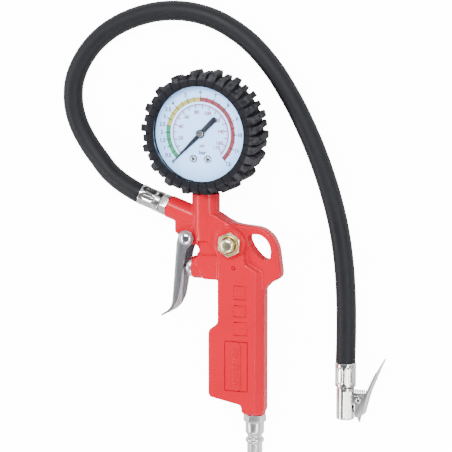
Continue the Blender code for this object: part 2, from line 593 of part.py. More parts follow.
def chuck():
    cx = CHUCK_X
    o, d = (cx, 0, CHUCK_Z), (0, -1, 0)
    lathe("hose_ferrule_chuck", [(6.3, 83.6), (6.65, 84.2), (6.65, 98.0), (6.4, 98.7), (4.0, 98.7),
                                 (4.0, 97.9), (5.95, 97.9), (5.95, 83.9)], o, d, (NICKEL, 0.22, 1.0), SEG)
    body = lathe("chuck_body", [(2.0, 81.0), (3.2, 81.0), (3.5, 81.6), (3.5, 97.8), (3.7, 99.2),
                                (5.2, 99.4), (5.7, 99.8), (5.7, 118.9), (5.4, 119.6), (4.2, 119.6),
                                (4.2, 108.0), (2.0, 108.0)], o, d, (NICKEL, 0.22, 1.0), SEG)
    ear = prism("ear", [(cx + 4.9, -104.2), (cx + 11.6, -104.2), (cx + 12.2, -106.2),
                        (cx + 11.0, -108.2), (cx + 4.9, -109.6)], CHUCK_Z - 3.6, CHUCK_Z + 3.6)
    slot = prism("slot", [(cx + 3.0, -113.6), (cx + 8.0, -113.6), (cx + 8.0, -117.6),
                          (cx + 3.0, -117.6)], CHUCK_Z - 2.4, CHUCK_Z + 2.4)
    pin_at = (cx + 10.1, -106.2, CHUCK_Z)
    fuse(body, ear)
    cut(body, slot, rod("pin_hole", 1.1, -6, 6, pin_at, (0, 0, 1), None, 16))
    lathe("chuck_seal", [(1.9, 108.3), (4.0, 108.3), (4.0, 111.3), (1.9, 111.3)], o, d,
          (DARK, 0.7, 0.0), 16)
    lathe("chuck_depressor", [(0, 105.0), (1.5, 105.0), (1.5, 112.5), (0.9, 113.2), (0, 113.2)], o, d,
          (BRASS, 0.35, 1.0), 12)

    outline = [(cx + 7.6, -116.6), (cx + 4.4, -116.8), (cx + 4.4, -115.4), (cx + 7.6, -113.0),
               (cx + 7.6, -106.6), (cx + 8.8, -104.8), (cx + 14.8, -102.0), (cx + 20.6, -88.9),
               (cx + 25.4, -79.6), (cx + 26.4, -79.1), (cx + 21.6, -88.5), (cx + 16.0, -101.8),
               (cx + 12.2, -116.0), (cx + 10.4, -117.2), (cx + 9.6, -121.3), (cx + 8.4, -118.0)]
    lever = prism("clip_lever", outline, CHUCK_Z - 5.0, CHUCK_Z + 5.0, (CHROME, 0.28, 1.0))
    inside = prism("inside", [(cx + 6.0, -112.0), (cx + 6.0, -100.0), (cx + 14.0, -100.0),
                              (cx + 14.8, -102.0), (cx + 11.2, -115.6), (cx + 9.4, -115.6)],
                   CHUCK_Z - 4.0, CHUCK_Z + 4.0)
    claw_a = prism("claw_a", [(cx + 2.0, -122.0), (cx + 2.0, -112.4), (cx + 7.59, -112.4),
                              (cx + 7.59, -122.0)], CHUCK_Z + 2.0, CHUCK_Z + 6.0)
    claw_b = prism("claw_b", [(cx + 2.0, -122.0), (cx + 2.0, -112.4), (cx + 7.59, -112.4),
                              (cx + 7.59, -122.0)], CHUCK_Z - 6.0, CHUCK_Z - 2.0)
    cut(lever, inside, claw_a, claw_b, rod("pin_bore", 1.1, -6, 6, pin_at, (0, 0, 1), None, 16))
    lathe("clip_pin", [(0, -6.2), (1.4, -6.1), (1.8, -5.3), (1.0, -5.3), (1.0, 5.3), (1.8, 5.3),
                       (1.4, 6.1), (0, 6.2)], pin_at, (0, 0, 1), (CHROME, 0.2, 1.0), 16)
    coil("clip_spring", (cx, -101.6, CHUCK_Z), (1, 0, 0), 1.7, 5.9, 14.6, 4, 0.3, (STEEL, 0.35, 1.0))
    axis = empty("clip_axis", pin_at)
    hang(lever, axis)


gun_body()
inlet()
trigger_valve()
bleed_valve()
gauge()
hose_fitting()
hose()
chuck()
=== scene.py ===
"""Hand-held tyre inflator lying on its back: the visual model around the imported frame."""

import math

import bmesh
import bpy
from mathutils import Matrix, Vector


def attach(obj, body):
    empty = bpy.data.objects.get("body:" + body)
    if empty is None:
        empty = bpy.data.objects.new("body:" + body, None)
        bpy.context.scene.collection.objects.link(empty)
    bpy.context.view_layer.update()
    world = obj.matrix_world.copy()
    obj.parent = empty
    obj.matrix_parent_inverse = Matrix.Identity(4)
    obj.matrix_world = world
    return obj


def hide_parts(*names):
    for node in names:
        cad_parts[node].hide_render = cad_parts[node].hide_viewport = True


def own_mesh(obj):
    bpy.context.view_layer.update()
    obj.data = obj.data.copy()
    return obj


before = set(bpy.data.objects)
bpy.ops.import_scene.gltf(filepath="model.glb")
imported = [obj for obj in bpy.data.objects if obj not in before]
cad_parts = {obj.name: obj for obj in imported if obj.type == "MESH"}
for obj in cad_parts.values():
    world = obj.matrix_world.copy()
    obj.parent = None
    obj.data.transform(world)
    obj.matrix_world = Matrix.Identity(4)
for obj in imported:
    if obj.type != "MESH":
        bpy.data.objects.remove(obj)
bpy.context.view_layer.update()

MM = 0.001
ORIGIN_X, ORIGIN_Y, TABLE_Z = 2.12, -23.705, -14.0   # gun plane frame, millimetres


def P(x, y, z=0.0):
    """Gun plane frame in millimetres to the frame's metres."""
    return Vector(((x - ORIGIN_X) * MM, (y - ORIGIN_Y) * MM, (z - TABLE_Z) * MM))


# ------------------------------------------------------------------ shared sizes
NECK_R, NECK_TOP = 8.85, 20.4
VALVE_Y, VALVE_R = -27.1, 7.25
OUTLET, OUTLET_DEG, OUTLET_R = (-24.6, 10.7), 160.4, 7.2
OUT = (math.cos(math.radians(OUTLET_DEG)), math.sin(math.radians(OUTLET_DEG)), 0.0)
BLEED = (19.8, -9.8)
BOSS_TOP = 9.3
INLET_X, INLET_Y = 32.9, -119.2
PIVOT = (-11.0, -8.2)
LEVER_HALF = 7.8
GAUGE = (0.0, 59.0)
DIAL_Z = 9.5
HOSE_R, HOSE_Z = 6.3, -7.7
CHUCK_X, CHUCK_Z = 90.6, -7.3
FRONT = 8.5

X_AXIS, Y_AXIS, Z_AXIS, DOWN_Y = (1, 0, 0), (0, 1, 0), (0, 0, 1), (0, -1, 0)


# ------------------------------------------------------------------ camera, floor, light
def camera():
    yaw, lift, far = math.radians(20.0), math.radians(9.0), 1.5
    away = Vector((math.sin(yaw) * math.cos(lift), math.sin(lift), math.cos(yaw) * math.cos(lift)))
    right = Vector((math.cos(yaw), 0.0, -math.sin(yaw)))
    up = away.cross(right)
    data = bpy.data.cameras.new("camera")
    data.lens, data.sensor_width = 189.6, 36.0
    data.clip_start, data.clip_end = 0.05, 20.0
    cam = bpy.data.objects.new("camera", data)
    bpy.context.scene.collection.objects.link(cam)
    turn = Matrix((right, up, away)).transposed().to_4x4()
    cam.matrix_world = Matrix.Translation(P(13.4, 0.0) + away * far) @ turn
    bpy.context.scene.camera = cam


def area_light(name, place, aim, size, power, tint=(1, 1, 1)):
    data = bpy.data.lights.new(name, "AREA")
    data.shape = "RECTANGLE"
    data.size, data.size_y = size
    data.energy = power
    data.color = tint
    ob = bpy.data.objects.new(name, data)
    bpy.context.scene.collection.objects.link(ob)
    ob.location = Vector(place)
    ob.rotation_euler = (Vector(aim) - Vector(place)).to_track_quat("-Z", "Y").to_euler()


def studio():
    bm = bmesh.new()
    bmesh.ops.create_grid(bm, x_segments=2, y_segments=2, size=3.0)
    floor = put("floor", bm)
    floor.data.materials.append(floor_paper())
    sky()
    area_light("top_soft", (0.0, 0.95, 1.45), (0, 0, 0), (1.1, 0.4), 36.0)
    area_light("right_strip", (1.10, -0.15, 1.06), (0, 0, 0), (1.5, 0.2), 16.0)
    area_light("left_strip", (-1.25, -0.15, 0.98), (0, 0, 0), (1.5, 0.2), 20.0)
    area_light("foot_fill", (0.15, -1.25, 1.0), (0, 0, 0), (1.2, 0.35), 12.0)


def floor_paper():
    """White paper that glows a little where it is seen, as an overlit table does."""
    mat, nodes, links, shader = new_material("floor_paper")
    noise = node(nodes, "ShaderNodeTexNoise", Scale=6.0, Detail=2.0)
    ramp = node(nodes, "ShaderNodeMapRange", **{"To Min": 0.82, "To Max": 0.85})
    links.new(noise.outputs["Fac"], ramp.inputs["Value"])
    paper = nodes.new("ShaderNodeCombineColor")
    for channel in ("Red", "Green", "Blue"):
        links.new(ramp.outputs["Result"], paper.inputs[channel])
    links.new(paper.outputs["Color"], shader.inputs["Base Color"])
    shader.inputs["Roughness"].default_value = 0.9
    shader.inputs["Emission Color"].default_value = (1.0, 1.0, 1.0, 1.0)
    rays = nodes.new("ShaderNodeLightPath")
    glow = node(nodes, "ShaderNodeMapRange", **{"To Min": 0.0, "To Max": 13.0})
    links.new(rays.outputs["Is Camera Ray"], glow.inputs["Value"])
    links.new(glow.outputs["Result"], shader.inputs["Emission Strength"])
    return mat


def sky():
    """Soft surround: bright low down, dark straight above so that flat faces keep their colour."""
    world = bpy.data.worlds.new("studio")
    bpy.context.scene.world = world
    world.use_nodes = True
    nodes, links = world.node_tree.nodes, world.node_tree.links
    where = nodes.new("ShaderNodeTexCoord")
    split = nodes.new("ShaderNodeSeparateXYZ")
    links.new(where.outputs["Generated"], split.inputs["Vector"])
    fade = nodes.new("ShaderNodeValToRGB")
    ramp = fade.color_ramp
    ramp.elements[0].position, ramp.elements[0].color = 0.15, (0.95, 0.98, 1.04, 1.0)
    ramp.elements[1].position, ramp.elements[1].color = 0.92, (0.16, 0.17, 0.19, 1.0)
    middle = ramp.elements.new(0.65)
    middle.color = (0.60, 0.63, 0.70, 1.0)
    links.new(split.outputs["Z"], fade.inputs["Fac"])
    links.new(fade.outputs["Color"], nodes["Background"].inputs["Color"])
    nodes["Background"].inputs["Strength"].default_value = 1.0


# ------------------------------------------------------------------ material building
def node(nodes, kind, **values):
    made = nodes.new(kind)
    for key, value in values.items():
        made.inputs[key].default_value = value
    return made


def new_material(name):
    mat = bpy.data.materials.new(name)
    mat.use_nodes = True
    nodes, links = mat.node_tree.nodes, mat.node_tree.links
    return mat, nodes, links, nodes["Principled BSDF"]


def group_sockets(tree, inputs, outputs):
    for name, kind, value in inputs:
        s = tree.interface.new_socket(name=name, in_out="INPUT", socket_type=kind)
        s.default_value = value
    for name, kind in outputs:
        tree.interface.new_socket(name=name, in_out="OUTPUT", socket_type=kind)


def grain_group():
    """Two sizes of noise in the object's own metres: a Mask for tone and a Height for bump."""
    tree = bpy.data.node_groups.new("fine_grain", "ShaderNodeTree")
    group_sockets(tree, [("Stretch", "NodeSocketVector", (1.0, 1.0, 1.0)),
                         ("Coarse Scale", "NodeSocketFloat", 60.0),
                         ("Fine Scale", "NodeSocketFloat", 1500.0),
                         ("Fine Share", "NodeSocketFloat", 0.7)],
                  [("Mask", "NodeSocketFloat"), ("Height", "NodeSocketFloat")])
    n, l = tree.nodes, tree.links
    inp, out = n.new("NodeGroupInput"), n.new("NodeGroupOutput")
    where = n.new("ShaderNodeTexCoord")
    scale = n.new("ShaderNodeVectorMath")
    scale.operation = "MULTIPLY"
    l.new(where.outputs["Object"], scale.inputs[0])
    l.new(inp.outputs["Stretch"], scale.inputs[1])
    coarse = node(n, "ShaderNodeTexNoise", Detail=4.0, Roughness=0.6)
    fine = node(n, "ShaderNodeTexNoise", Detail=3.0, Roughness=0.55)
    for tex, key in ((coarse, "Coarse Scale"), (fine, "Fine Scale")):
        l.new(scale.outputs["Vector"], tex.inputs["Vector"])
        l.new(inp.outputs[key], tex.inputs["Scale"])
    tone = node(n, "ShaderNodeMapRange", **{"From Min": 0.3, "From Max": 0.7})
    l.new(coarse.outputs["Fac"], tone.inputs["Value"])
    blend = n.new("ShaderNodeMix")
    l.new(inp.outputs["Fine Share"], blend.inputs["Factor"])
    l.new(coarse.outputs["Fac"], blend.inputs["A"])
    l.new(fine.outputs["Fac"], blend.inputs["B"])
    l.new(tone.outputs["Result"], out.inputs["Mask"])
    l.new(blend.outputs["Result"], out.inputs["Height"])
    return tree


def rub_group():
    """Where edges catch handling: convex edges broken up by noise, as a 0 to 1 mask."""
    tree = bpy.data.node_groups.new("rubbed_edges", "ShaderNodeTree")
    group_sockets(tree, [("Start", "NodeSocketFloat", 0.52), ("Full", "NodeSocketFloat", 0.62),
                         ("Break Up Scale", "NodeSocketFloat", 300.0)],
                  [("Mask", "NodeSocketFloat")])
    n, l = tree.nodes, tree.links
    inp, out = n.new("NodeGroupInput"), n.new("NodeGroupOutput")
    geo = n.new("ShaderNodeNewGeometry")
    where = n.new("ShaderNodeTexCoord")
    edge = n.new("ShaderNodeMapRange")
    l.new(geo.outputs["Pointiness"], edge.inputs["Value"])
    l.new(inp.outputs["Start"], edge.inputs["From Min"])
    l.new(inp.outputs["Full"], edge.inputs["From Max"])
    noise = node(n, "ShaderNodeTexNoise", Detail=3.0)
    l.new(where.outputs["Object"], noise.inputs["Vector"])
    l.new(inp.outputs["Break Up Scale"], noise.inputs["Scale"])
    soft = node(n, "ShaderNodeMapRange", **{"From Min": 0.35, "From Max": 0.6})
    l.new(noise.outputs["Fac"], soft.inputs["Value"])
    both = n.new("ShaderNodeMath")
    both.operation = "MULTIPLY"
    l.new(edge.outputs["Result"], both.inputs[0])
    l.new(soft.outputs["Result"], both.inputs[1])
    l.new(both.outputs["Value"], out.inputs["Mask"])
    return tree


GRAIN = grain_group()
RUB = rub_group()


def put_group(nodes, tree, **values):
    made = nodes.new("ShaderNodeGroup")
    made.node_tree = tree
    for key, value in values.items():
        made.inputs[key.replace("_", " ")].default_value = value
    return made


def surface(name, tone_a, tone_b, rough, metallic=0.0, coarse=60.0, fine=1500.0, share=0.7,
            bump=0.05, depth=0.0002, stretch=(1, 1, 1), edge=None, edge_range=(0.52, 0.62), extra=()):
    """A finish whose colour runs between two tones, with roughness and bump from its grain."""
    mat, nodes, links, shader = new_material(name)
    grain = put_group(nodes, GRAIN, Stretch=stretch, Coarse_Scale=coarse, Fine_Scale=fine,
                      Fine_Share=share)
    tone = nodes.new("ShaderNodeMix")
    tone.data_type = "RGBA"
    tone.inputs["A"].default_value = (*tone_a, 1.0)
    tone.inputs["B"].default_value = (*tone_b, 1.0)
    links.new(grain.outputs["Mask"], tone.inputs["Factor"])
    colour = tone.outputs["Result"]
    if edge is not None:
        rub = put_group(nodes, RUB, Start=edge_range[0], Full=edge_range[1])
        over = nodes.new("ShaderNodeMix")
        over.data_type = "RGBA"
        over.inputs["B"].default_value = (*edge, 1.0)
        links.new(rub.outputs["Mask"], over.inputs["Factor"])
        links.new(colour, over.inputs["A"])
        colour = over.outputs["Result"]
    links.new(colour, shader.inputs["Base Color"])
    spread = node(nodes, "ShaderNodeMapRange", **{"To Min": rough[0], "To Max": rough[1]})
    links.new(grain.outputs["Mask"], spread.inputs["Value"])
    links.new(spread.outputs["Result"], shader.inputs["Roughness"])
    relief = node(nodes, "ShaderNodeBump", Strength=bump, Distance=depth)
    links.new(grain.outputs["Height"], relief.inputs["Height"])
    links.new(relief.outputs["Normal"], shader.inputs["Normal"])
    shader.inputs["Metallic"].default_value = metallic
    for key, value in extra:
        shader.inputs[key].default_value = value
    return mat


def clear_lens():
    mat, nodes, links, shader = new_material("clear_lens")
    grain = put_group(nodes, GRAIN, Coarse_Scale=25.0, Fine_Scale=90.0, Fine_Share=0.3)
    spread = node(nodes, "ShaderNodeMapRange", **{"To Min": 0.02, "To Max": 0.05})
    links.new(grain.outputs["Mask"], spread.inputs["Value"])
    links.new(spread.outputs["Result"], shader.inputs["Roughness"])
    shader.inputs["Base Color"].default_value = (0.97, 0.99, 1.0, 1.0)
    shader.inputs["IOR"].default_value = 1.10
    shader.inputs["Transmission Weight"].default_value = 1.0
    out = nodes["Material Output"]
    through = nodes.new("ShaderNodeBsdfTransparent")
    rays = nodes.new("ShaderNodeLightPath")
    mix = nodes.new("ShaderNodeMixShader")
    links.new(rays.outputs["Is Shadow Ray"], mix.inputs["Fac"])
    links.new(shader.outputs["BSDF"], mix.inputs[1])
    links.new(through.outputs["BSDF"], mix.inputs[2])
    links.new(mix.outputs["Shader"], out.inputs["Surface"])
    return mat


def finishes():
    f = {}
    f["enamel"] = surface("red_enamel", (0.64, 0.0001, 0.020), (0.58, 0.0001, 0.017), (0.24, 0.32),
                          coarse=35, fine=700, share=0.5, bump=0.10, depth=0.00015,
                          extra=(("Specular IOR Level", 0.10), ("Coat Weight", 0.16), ("Coat Roughness", 0.05)))
    f["tread"] = surface("moulded_rubber", (0.0042, 0.0045, 0.0065), (0.007, 0.0075, 0.0105), (0.62, 0.78),
                         coarse=90, fine=1800, bump=0.25, edge=(0.040, 0.040, 0.045),
                         edge_range=(0.53, 0.66), extra=(("Specular IOR Level", 0.20),))
    f["hose"] = surface("hose_rubber", (0.0055, 0.0058, 0.0075), (0.0085, 0.009, 0.011), (0.48, 0.60),
                        coarse=50, fine=2200, bump=0.22, extra=(("Specular IOR Level", 0.24),))
    f["nickel"] = surface("nickel_plate", (0.80, 0.77, 0.73), (0.70, 0.68, 0.65), (0.14, 0.24), 1.0,
                          coarse=120, fine=2600, bump=0.06, edge=(0.88, 0.86, 0.83))
    f["satin"] = surface("satin_nickel", (0.76, 0.74, 0.72), (0.64, 0.63, 0.61), (0.26, 0.36), 1.0,
                         coarse=140, fine=2600, bump=0.06, edge=(0.92, 0.91, 0.89))
    f["lever"] = surface("bright_plated_steel", (0.52, 0.52, 0.54), (0.42, 0.42, 0.44), (0.28, 0.38),
                         1.0, coarse=110, fine=1600, bump=0.10, stretch=(5.0, 0.3, 2.0),
                         edge=(0.82, 0.83, 0.85))
    f["rivet"] = surface("polished_rivet", (0.85, 0.86, 0.88), (0.76, 0.77, 0.79), (0.06, 0.12), 1.0,
                         coarse=160, fine=3000, bump=0.03)
    f["blue_zinc"] = surface("blue_zinc", (0.66, 0.72, 0.78), (0.72, 0.74, 0.76), (0.24, 0.36), 1.0,
                             coarse=140, fine=2400, bump=0.08)
    f["gold_zinc"] = surface("yellow_zinc", (0.83, 0.72, 0.42), (0.76, 0.72, 0.50), (0.22, 0.34), 1.0,
                             coarse=150, fine=2400, bump=0.08, edge=(0.88, 0.82, 0.62))
    f["gold_ring"] = surface("dark_yellow_zinc", (0.62, 0.44, 0.14), (0.70, 0.52, 0.20), (0.24, 0.36),
                             1.0, coarse=150, fine=2400, bump=0.08)
    f["brass"] = surface("brass", (0.74, 0.54, 0.22), (0.66, 0.46, 0.18), (0.26, 0.38), 1.0,
                         coarse=110, fine=2000, bump=0.08)
    f["wire"] = surface("spring_wire", (0.52, 0.52, 0.54), (0.42, 0.42, 0.44), (0.26, 0.36), 1.0,
                        coarse=200, fine=3000, bump=0.05)
    f["seal"] = surface("seal_rubber", (0.022, 0.022, 0.024), (0.03, 0.03, 0.033), (0.55, 0.7),
                        coarse=120, fine=2400, bump=0.15)
    f["lacquer"] = surface("black_lacquer", (0.022, 0.022, 0.024), (0.03, 0.03, 0.032), (0.30, 0.42),
                           coarse=60, fine=1500, bump=0.05)
    f["dial"] = surface("dial_enamel", (0.33, 0.58, 1.0), (0.36, 0.61, 1.0), (0.38, 0.44),
                        coarse=40, fine=2500, bump=0.02)
    f["black_ink"] = surface("black_ink", (0.003, 0.004, 0.009), (0.005, 0.006, 0.012), (0.45, 0.55),
                             coarse=300, fine=3000, bump=0.02)
    f["red_ink"] = surface("red_ink", (0.20, 0.005, 0.010), (0.17, 0.004, 0.009), (0.45, 0.55),
                           coarse=300, fine=3000, bump=0.02)
    f["red_band"] = surface("red_band_ink", (0.17, 0.012, 0.020), (0.15, 0.010, 0.017), (0.45, 0.55),
                            coarse=300, fine=3000, bump=0.02)
    f["green_ink"] = surface("green_ink", (0.003, 0.15, 0.055), (0.005, 0.17, 0.06), (0.45, 0.55),
                             coarse=300, fine=3000, bump=0.02)
    f["yellow_ink"] = surface("yellow_ink", (0.32, 0.27, 0.045), (0.29, 0.25, 0.045), (0.45, 0.55),
                              coarse=300, fine=3000, bump=0.02)
    f["needle"] = surface("needle_enamel", (0.003, 0.004, 0.009), (0.005, 0.006, 0.012), (0.32, 0.42),
                          coarse=200, fine=2500, bump=0.03)
    f["lens"] = clear_lens()
    return f


# ------------------------------------------------------------------ mesh building
def put(name, bm, smooth_deg=None):
    bmesh.ops.remove_doubles(bm, verts=bm.verts, dist=1e-6)
    bmesh.ops.recalc_face_normals(bm, faces=bm.faces)
    me = bpy.data.meshes.new(name)
    bm.to_mesh(me)
    bm.free()
    ob = bpy.data.objects.new(name, me)
    bpy.context.scene.collection.objects.link(ob)
    if smooth_deg is not None:
        soften(ob, smooth_deg)
    return ob


def soften(ob, degrees=35):
    me = ob.data
    me.polygons.foreach_set("use_smooth", [True] * len(me.polygons))
    me.set_sharp_from_angle(angle=math.radians(degrees))
    me.update()


def line_frame(origin, direction):
    d = Vector(direction).normalized()
    return Matrix.Translation(P(*origin)) @ d.to_track_quat("Z", "Y").to_matrix().to_4x4()


def turned(name, profile, origin, direction, seg=96, shape=None, smooth=35):
    """A turned piece from its closed (radius, height) outline; shape(angle, r, h) may press it."""
    bm = bmesh.new()
    rings = []
    for r, h in profile:
        if r < 1e-6:
            rings.append([bm.verts.new((0, 0, h * MM))])
            continue
        ring = []
        for i in range(seg):
            a = 2 * math.pi * i / seg
            rr = shape(a, r, h) if shape else r
            ring.append(bm.verts.new((rr * MM * math.cos(a), rr * MM * math.sin(a), h * MM)))
        rings.append(ring)
    count = len(rings) if profile[0][0] > 1e-6 else len(rings) - 1
    for k in range(count):
        a, b = rings[k], rings[(k + 1) % len(rings)]
        for i in range(seg):
            j = (i + 1) % seg
            if len(a) == 1 and len(b) == 1:
                continue
            if len(a) == 1:
                bm.faces.new((a[0], b[i], b[j]))
            elif len(b) == 1:
                bm.faces.new((a[i], a[j], b[0]))
            else:
                bm.faces.new((a[i], a[j], b[j], b[i]))
    bmesh.ops.transform(bm, matrix=line_frame(origin, direction), verts=bm.verts)
    return put(name, bm, smooth)


def bar(name, r, h0, h1, origin, direction, seg=48, ease=0.0):
    if ease <= 0:
        return turned(name, [(0, h0), (r, h0), (r, h1), (0, h1)], origin, direction, seg)
    return turned(name, [(0, h0), (r - ease, h0), (r - 0.3 * ease, h0 + 0.3 * ease), (r, h0 + ease),
                         (r, h1 - ease), (r - 0.3 * ease, h1 - 0.3 * ease), (r - ease, h1), (0, h1)],
                  origin, direction, seg)


def slab(name, outline, z0, z1, rim=0.0, steps=3, smooth=35):
    """A plate cut to an outline, with its front and back rims rounded."""
    bm = bmesh.new()
    low = [bm.verts.new(P(x, y, z0)) for x, y in outline]
    high = [bm.verts.new(P(x, y, z1)) for x, y in outline]
    n = len(outline)
    bm.faces.new(low[::-1])
    bm.faces.new(high)
    for i in range(n):
        bm.faces.new((low[i], low[(i + 1) % n], high[(i + 1) % n], high[i]))
    bmesh.ops.recalc_face_normals(bm, faces=bm.faces)
    if rim > 0:
        edges = [e for e in bm.edges if abs(e.verts[0].co.z - e.verts[1].co.z) < 1e-7]
        bmesh.ops.bevel(bm, geom=edges, offset=rim * MM, segments=steps, profile=0.5,
                        affect="EDGES", clamp_overlap=True)
    return put(name, bm, smooth)


def beam(name, outline, y0, y1):
    """A straight bar along the gun with its cross-section given across and up."""
    bm = bmesh.new()
    near = [bm.verts.new(P(x, y0, z)) for x, z in outline]
    far = [bm.verts.new(P(x, y1, z)) for x, z in outline]
    n = len(outline)
    bm.faces.new(near)
    bm.faces.new(far[::-1])
    for i in range(n):
        bm.faces.new((near[i], near[(i + 1) % n], far[(i + 1) % n], far[i]))
    return put(name, bm)


def arc(cx, cy, r, a0, a1, n):
    return [(cx + r * math.cos(math.radians(a0 + (a1 - a0) * i / n)),
             cy + r * math.sin(math.radians(a0 + (a1 - a0) * i / n))) for i in range(n + 1)]


def rounded(outline, r, n=4):
    """Round every corner of an outline by about r."""
    out = []
    m = len(outline)
    for i in range(m):
        p0, p1, p2 = (Vector(outline[(i + k - 1) % m]) for k in range(3))
        a, b = p0 - p1, p2 - p1
        cut_back = min(r, a.length * 0.45, b.length * 0.45)
        s, e = p1 + a.normalized() * cut_back, p1 + b.normalized() * cut_back
        for k in range(n + 1):
            t = k / n
            q = s * (1 - t) ** 2 + p1 * 2 * t * (1 - t) + e * t * t
            out.append((q.x, q.y))
    return out


def bake(ob, kind, **settings):
    """Apply one modifier now."""
    mod = ob.modifiers.new("step", kind)
    for key, value in settings.items():
        setattr(mod, key, value)
    bpy.context.view_layer.update()
    me = bpy.data.meshes.new_from_object(ob.evaluated_get(bpy.context.evaluated_depsgraph_get()))
    ob.modifiers.clear()
    ob.data = me
    return ob


def drop(*obs):
    for ob in obs:
        bpy.data.objects.remove(ob, do_unlink=True)


def merge(target, *others):
    """Put the others' faces in the target's mesh as they are."""
    bm = bmesh.new()
    bm.from_mesh(target.data)
    for ob in others:
        bm.from_mesh(ob.data)
    bm.to_mesh(target.data)
    bm.free()
    drop(*others)
    return target


def cut(target, *others, operation="DIFFERENCE"):
    for ob in others:
        bake(target, "BOOLEAN", operation=operation, solver="EXACT", object=ob)
        drop(ob)
    bm = bmesh.new()
    bm.from_mesh(target.data)
    bmesh.ops.remove_doubles(bm, verts=bm.verts, dist=1e-5)
    bm.to_mesh(target.data)
    bm.free()
    return target


def ease_edges(ob, width, steps=2, degrees=30, smooth=35):
    bake(ob, "BEVEL", width=width * MM, segments=steps, limit_method="ANGLE",
         angle_limit=math.radians(degrees), harden_normals=False)
    soften(ob, smooth)
    return ob


def hexagon(name, flats, h0, h1, origin, direction, turn=0.0, lead=0.7):
    """A hexagon bar with its corners turned back to a cone at both ends."""
    r = flats / math.sqrt(3)
    ob = turned(name, [(0, h0), (r, h0), (r, h1), (0, h1)], (0, 0, 0), Z_AXIS, 6)
    at = line_frame(origin, direction) @ Matrix.Rotation(math.radians(turn), 4, "Z")
    ob.data.transform(at @ line_frame((0, 0, 0), Z_AXIS).inverted())
    tall = flats / 2 - 0.15
    cone = turned("cone", [(0, h0), (tall, h0), (r + 0.05, h0 + lead), (r + 0.05, h1 - lead), (tall, h1),
                           (0, h1)], origin, direction, 96)
    cut(ob, cone, operation="INTERSECT")
    return ob


def tube(name, points, radius_of, seg=40, bore=None):
    """A tube along points; radius_of(i) gives its outside radius in metres."""
    bm = bmesh.new()
    n = len(points)
    side = None
    frames = []
    for i in range(n):
        t = (points[min(i + 1, n - 1)] - points[max(i - 1, 0)]).normalized()
        ref = Vector((0, 0, 1)) if side is None else frames[-1][1]
        side = t.cross(ref).normalized()
        frames.append((side, side.cross(t).normalized()))

    def skin(radius):
        rings = []
        for i in range(n):
            s, u = frames[i]
            rings.append([bm.verts.new(points[i] + (s * math.cos(2 * math.pi * k / seg)
                                                     + u * math.sin(2 * math.pi * k / seg)) * radius(i))
                          for k in range(seg)])
        for i in range(n - 1):
            for k in range(seg):
                j = (k + 1) % seg
                bm.faces.new((rings[i][k], rings[i][j], rings[i + 1][j], rings[i + 1][k]))
        return rings

    outer = skin(radius_of)
    if bore is None:
        bm.faces.new(outer[0])
        bm.faces.new(outer[-1][::-1])
    else:
        inner = skin(lambda i: bore)
        for end in (0, -1):
            for k in range(seg):
                j = (k + 1) % seg
                bm.faces.new((outer[end][k], outer[end][j], inner[end][j], inner[end][k]))
    return put(name, bm, 40)


def smooth_path(points, per_span):
    """A smooth curve through every point, spaced by the distance between them."""
    out = []
    n = len(points)
    for i in range(n - 1):
        p1, p2 = points[i], points[i + 1]
        p0 = points[i - 1] if i else p1 * 2 - p2
        p3 = points[i + 2] if i + 2 < n else p2 * 2 - p1
        d0, d1, d2 = ((p1 - p0).length ** 0.5, (p2 - p1).length ** 0.5, (p3 - p2).length ** 0.5)
        m1 = ((p1 - p0) / d0 - (p2 - p0) / (d0 + d1) + (p2 - p1) / d1) * d1
        m2 = ((p2 - p1) / d1 - (p3 - p1) / (d1 + d2) + (p3 - p2) / d2) * d1
        for k in range(per_span):
            t = k / per_span
            h00, h10 = 2 * t ** 3 - 3 * t * t + 1, t ** 3 - 2 * t * t + t
            h01, h11 = 3 * t * t - 2 * t ** 3, t ** 3 - t * t
            out.append(p1 * h00 + m1 * h10 + p2 * h01 + m2 * h11)
    out.append(points[-1])
    return out


def show(ob, finish, body, *nodes, slot=None):
    """Give a piece its finish and its body, and hide the CAD nodes it stands for; slot is not used."""
    ob.data.materials.clear()
    ob.data.materials.append(FINISH[finish])
    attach(ob, body)
    if nodes:
        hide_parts(*nodes)
    return ob


# ------------------------------------------------------------------ hose
def hose():
    start = [Vector((OUTLET[0], OUTLET[1], 0)) + Vector(OUT) * s for s in (19.9, 20.9, 22.2)]
    lying = [(-57.0, 23.6, -1.8), (-67.0, 30.0, -4.0), (-75.6, 38.6, -6.2), (-83.0, 47.4, -7.4),
             (-90.0, 59.4, HOSE_Z), (-93.6, 72.0, HOSE_Z), (-93.3, 86.0, HOSE_Z), (-88.6, 98.6, HOSE_Z),
             (-79.4, 111.4, HOSE_Z), (-67.0, 121.6, HOSE_Z), (-50.0, 129.6, HOSE_Z),
             (-31.0, 133.8, HOSE_Z), (-12.0, 133.4, HOSE_Z), (6.0, 128.3, HOSE_Z), (25.4, 116.6, HOSE_Z),
             (41.1, 100.5, HOSE_Z), (53.5, 82.2, HOSE_Z), (64.0, 62.7, HOSE_Z), (72.9, 42.5, HOSE_Z),
             (80.2, 21.6, HOSE_Z), (85.7, 0.2, HOSE_Z), (89.0, -21.9, HOSE_Z), (90.5, -44.3, HOSE_Z),
             (90.8, -66.9, -7.5)]
    end = [Vector((CHUCK_X, y, CHUCK_Z)) for y in (-81.6, -83.0, -84.4)]
    knots = [P(*p) for p in start + [Vector(k) for k in lying] + end]
    path = smooth_path(knots, 8)
    last = len(path) - 1

    def radius(i):
        near = min((path[i] - path[0]).length, (path[i] - path[last]).length) / MM
        return (HOSE_R - 0.45 * max(0.0, 1.0 - near / 1.6)) * MM

    ob = tube("rubber_hose", path, radius, 40, 3.9 * MM)
    show(ob, "hose", "gun", "hose")
    length = sum((b - a).length for a, b in zip(path, path[1:]))
    return ob, path, length


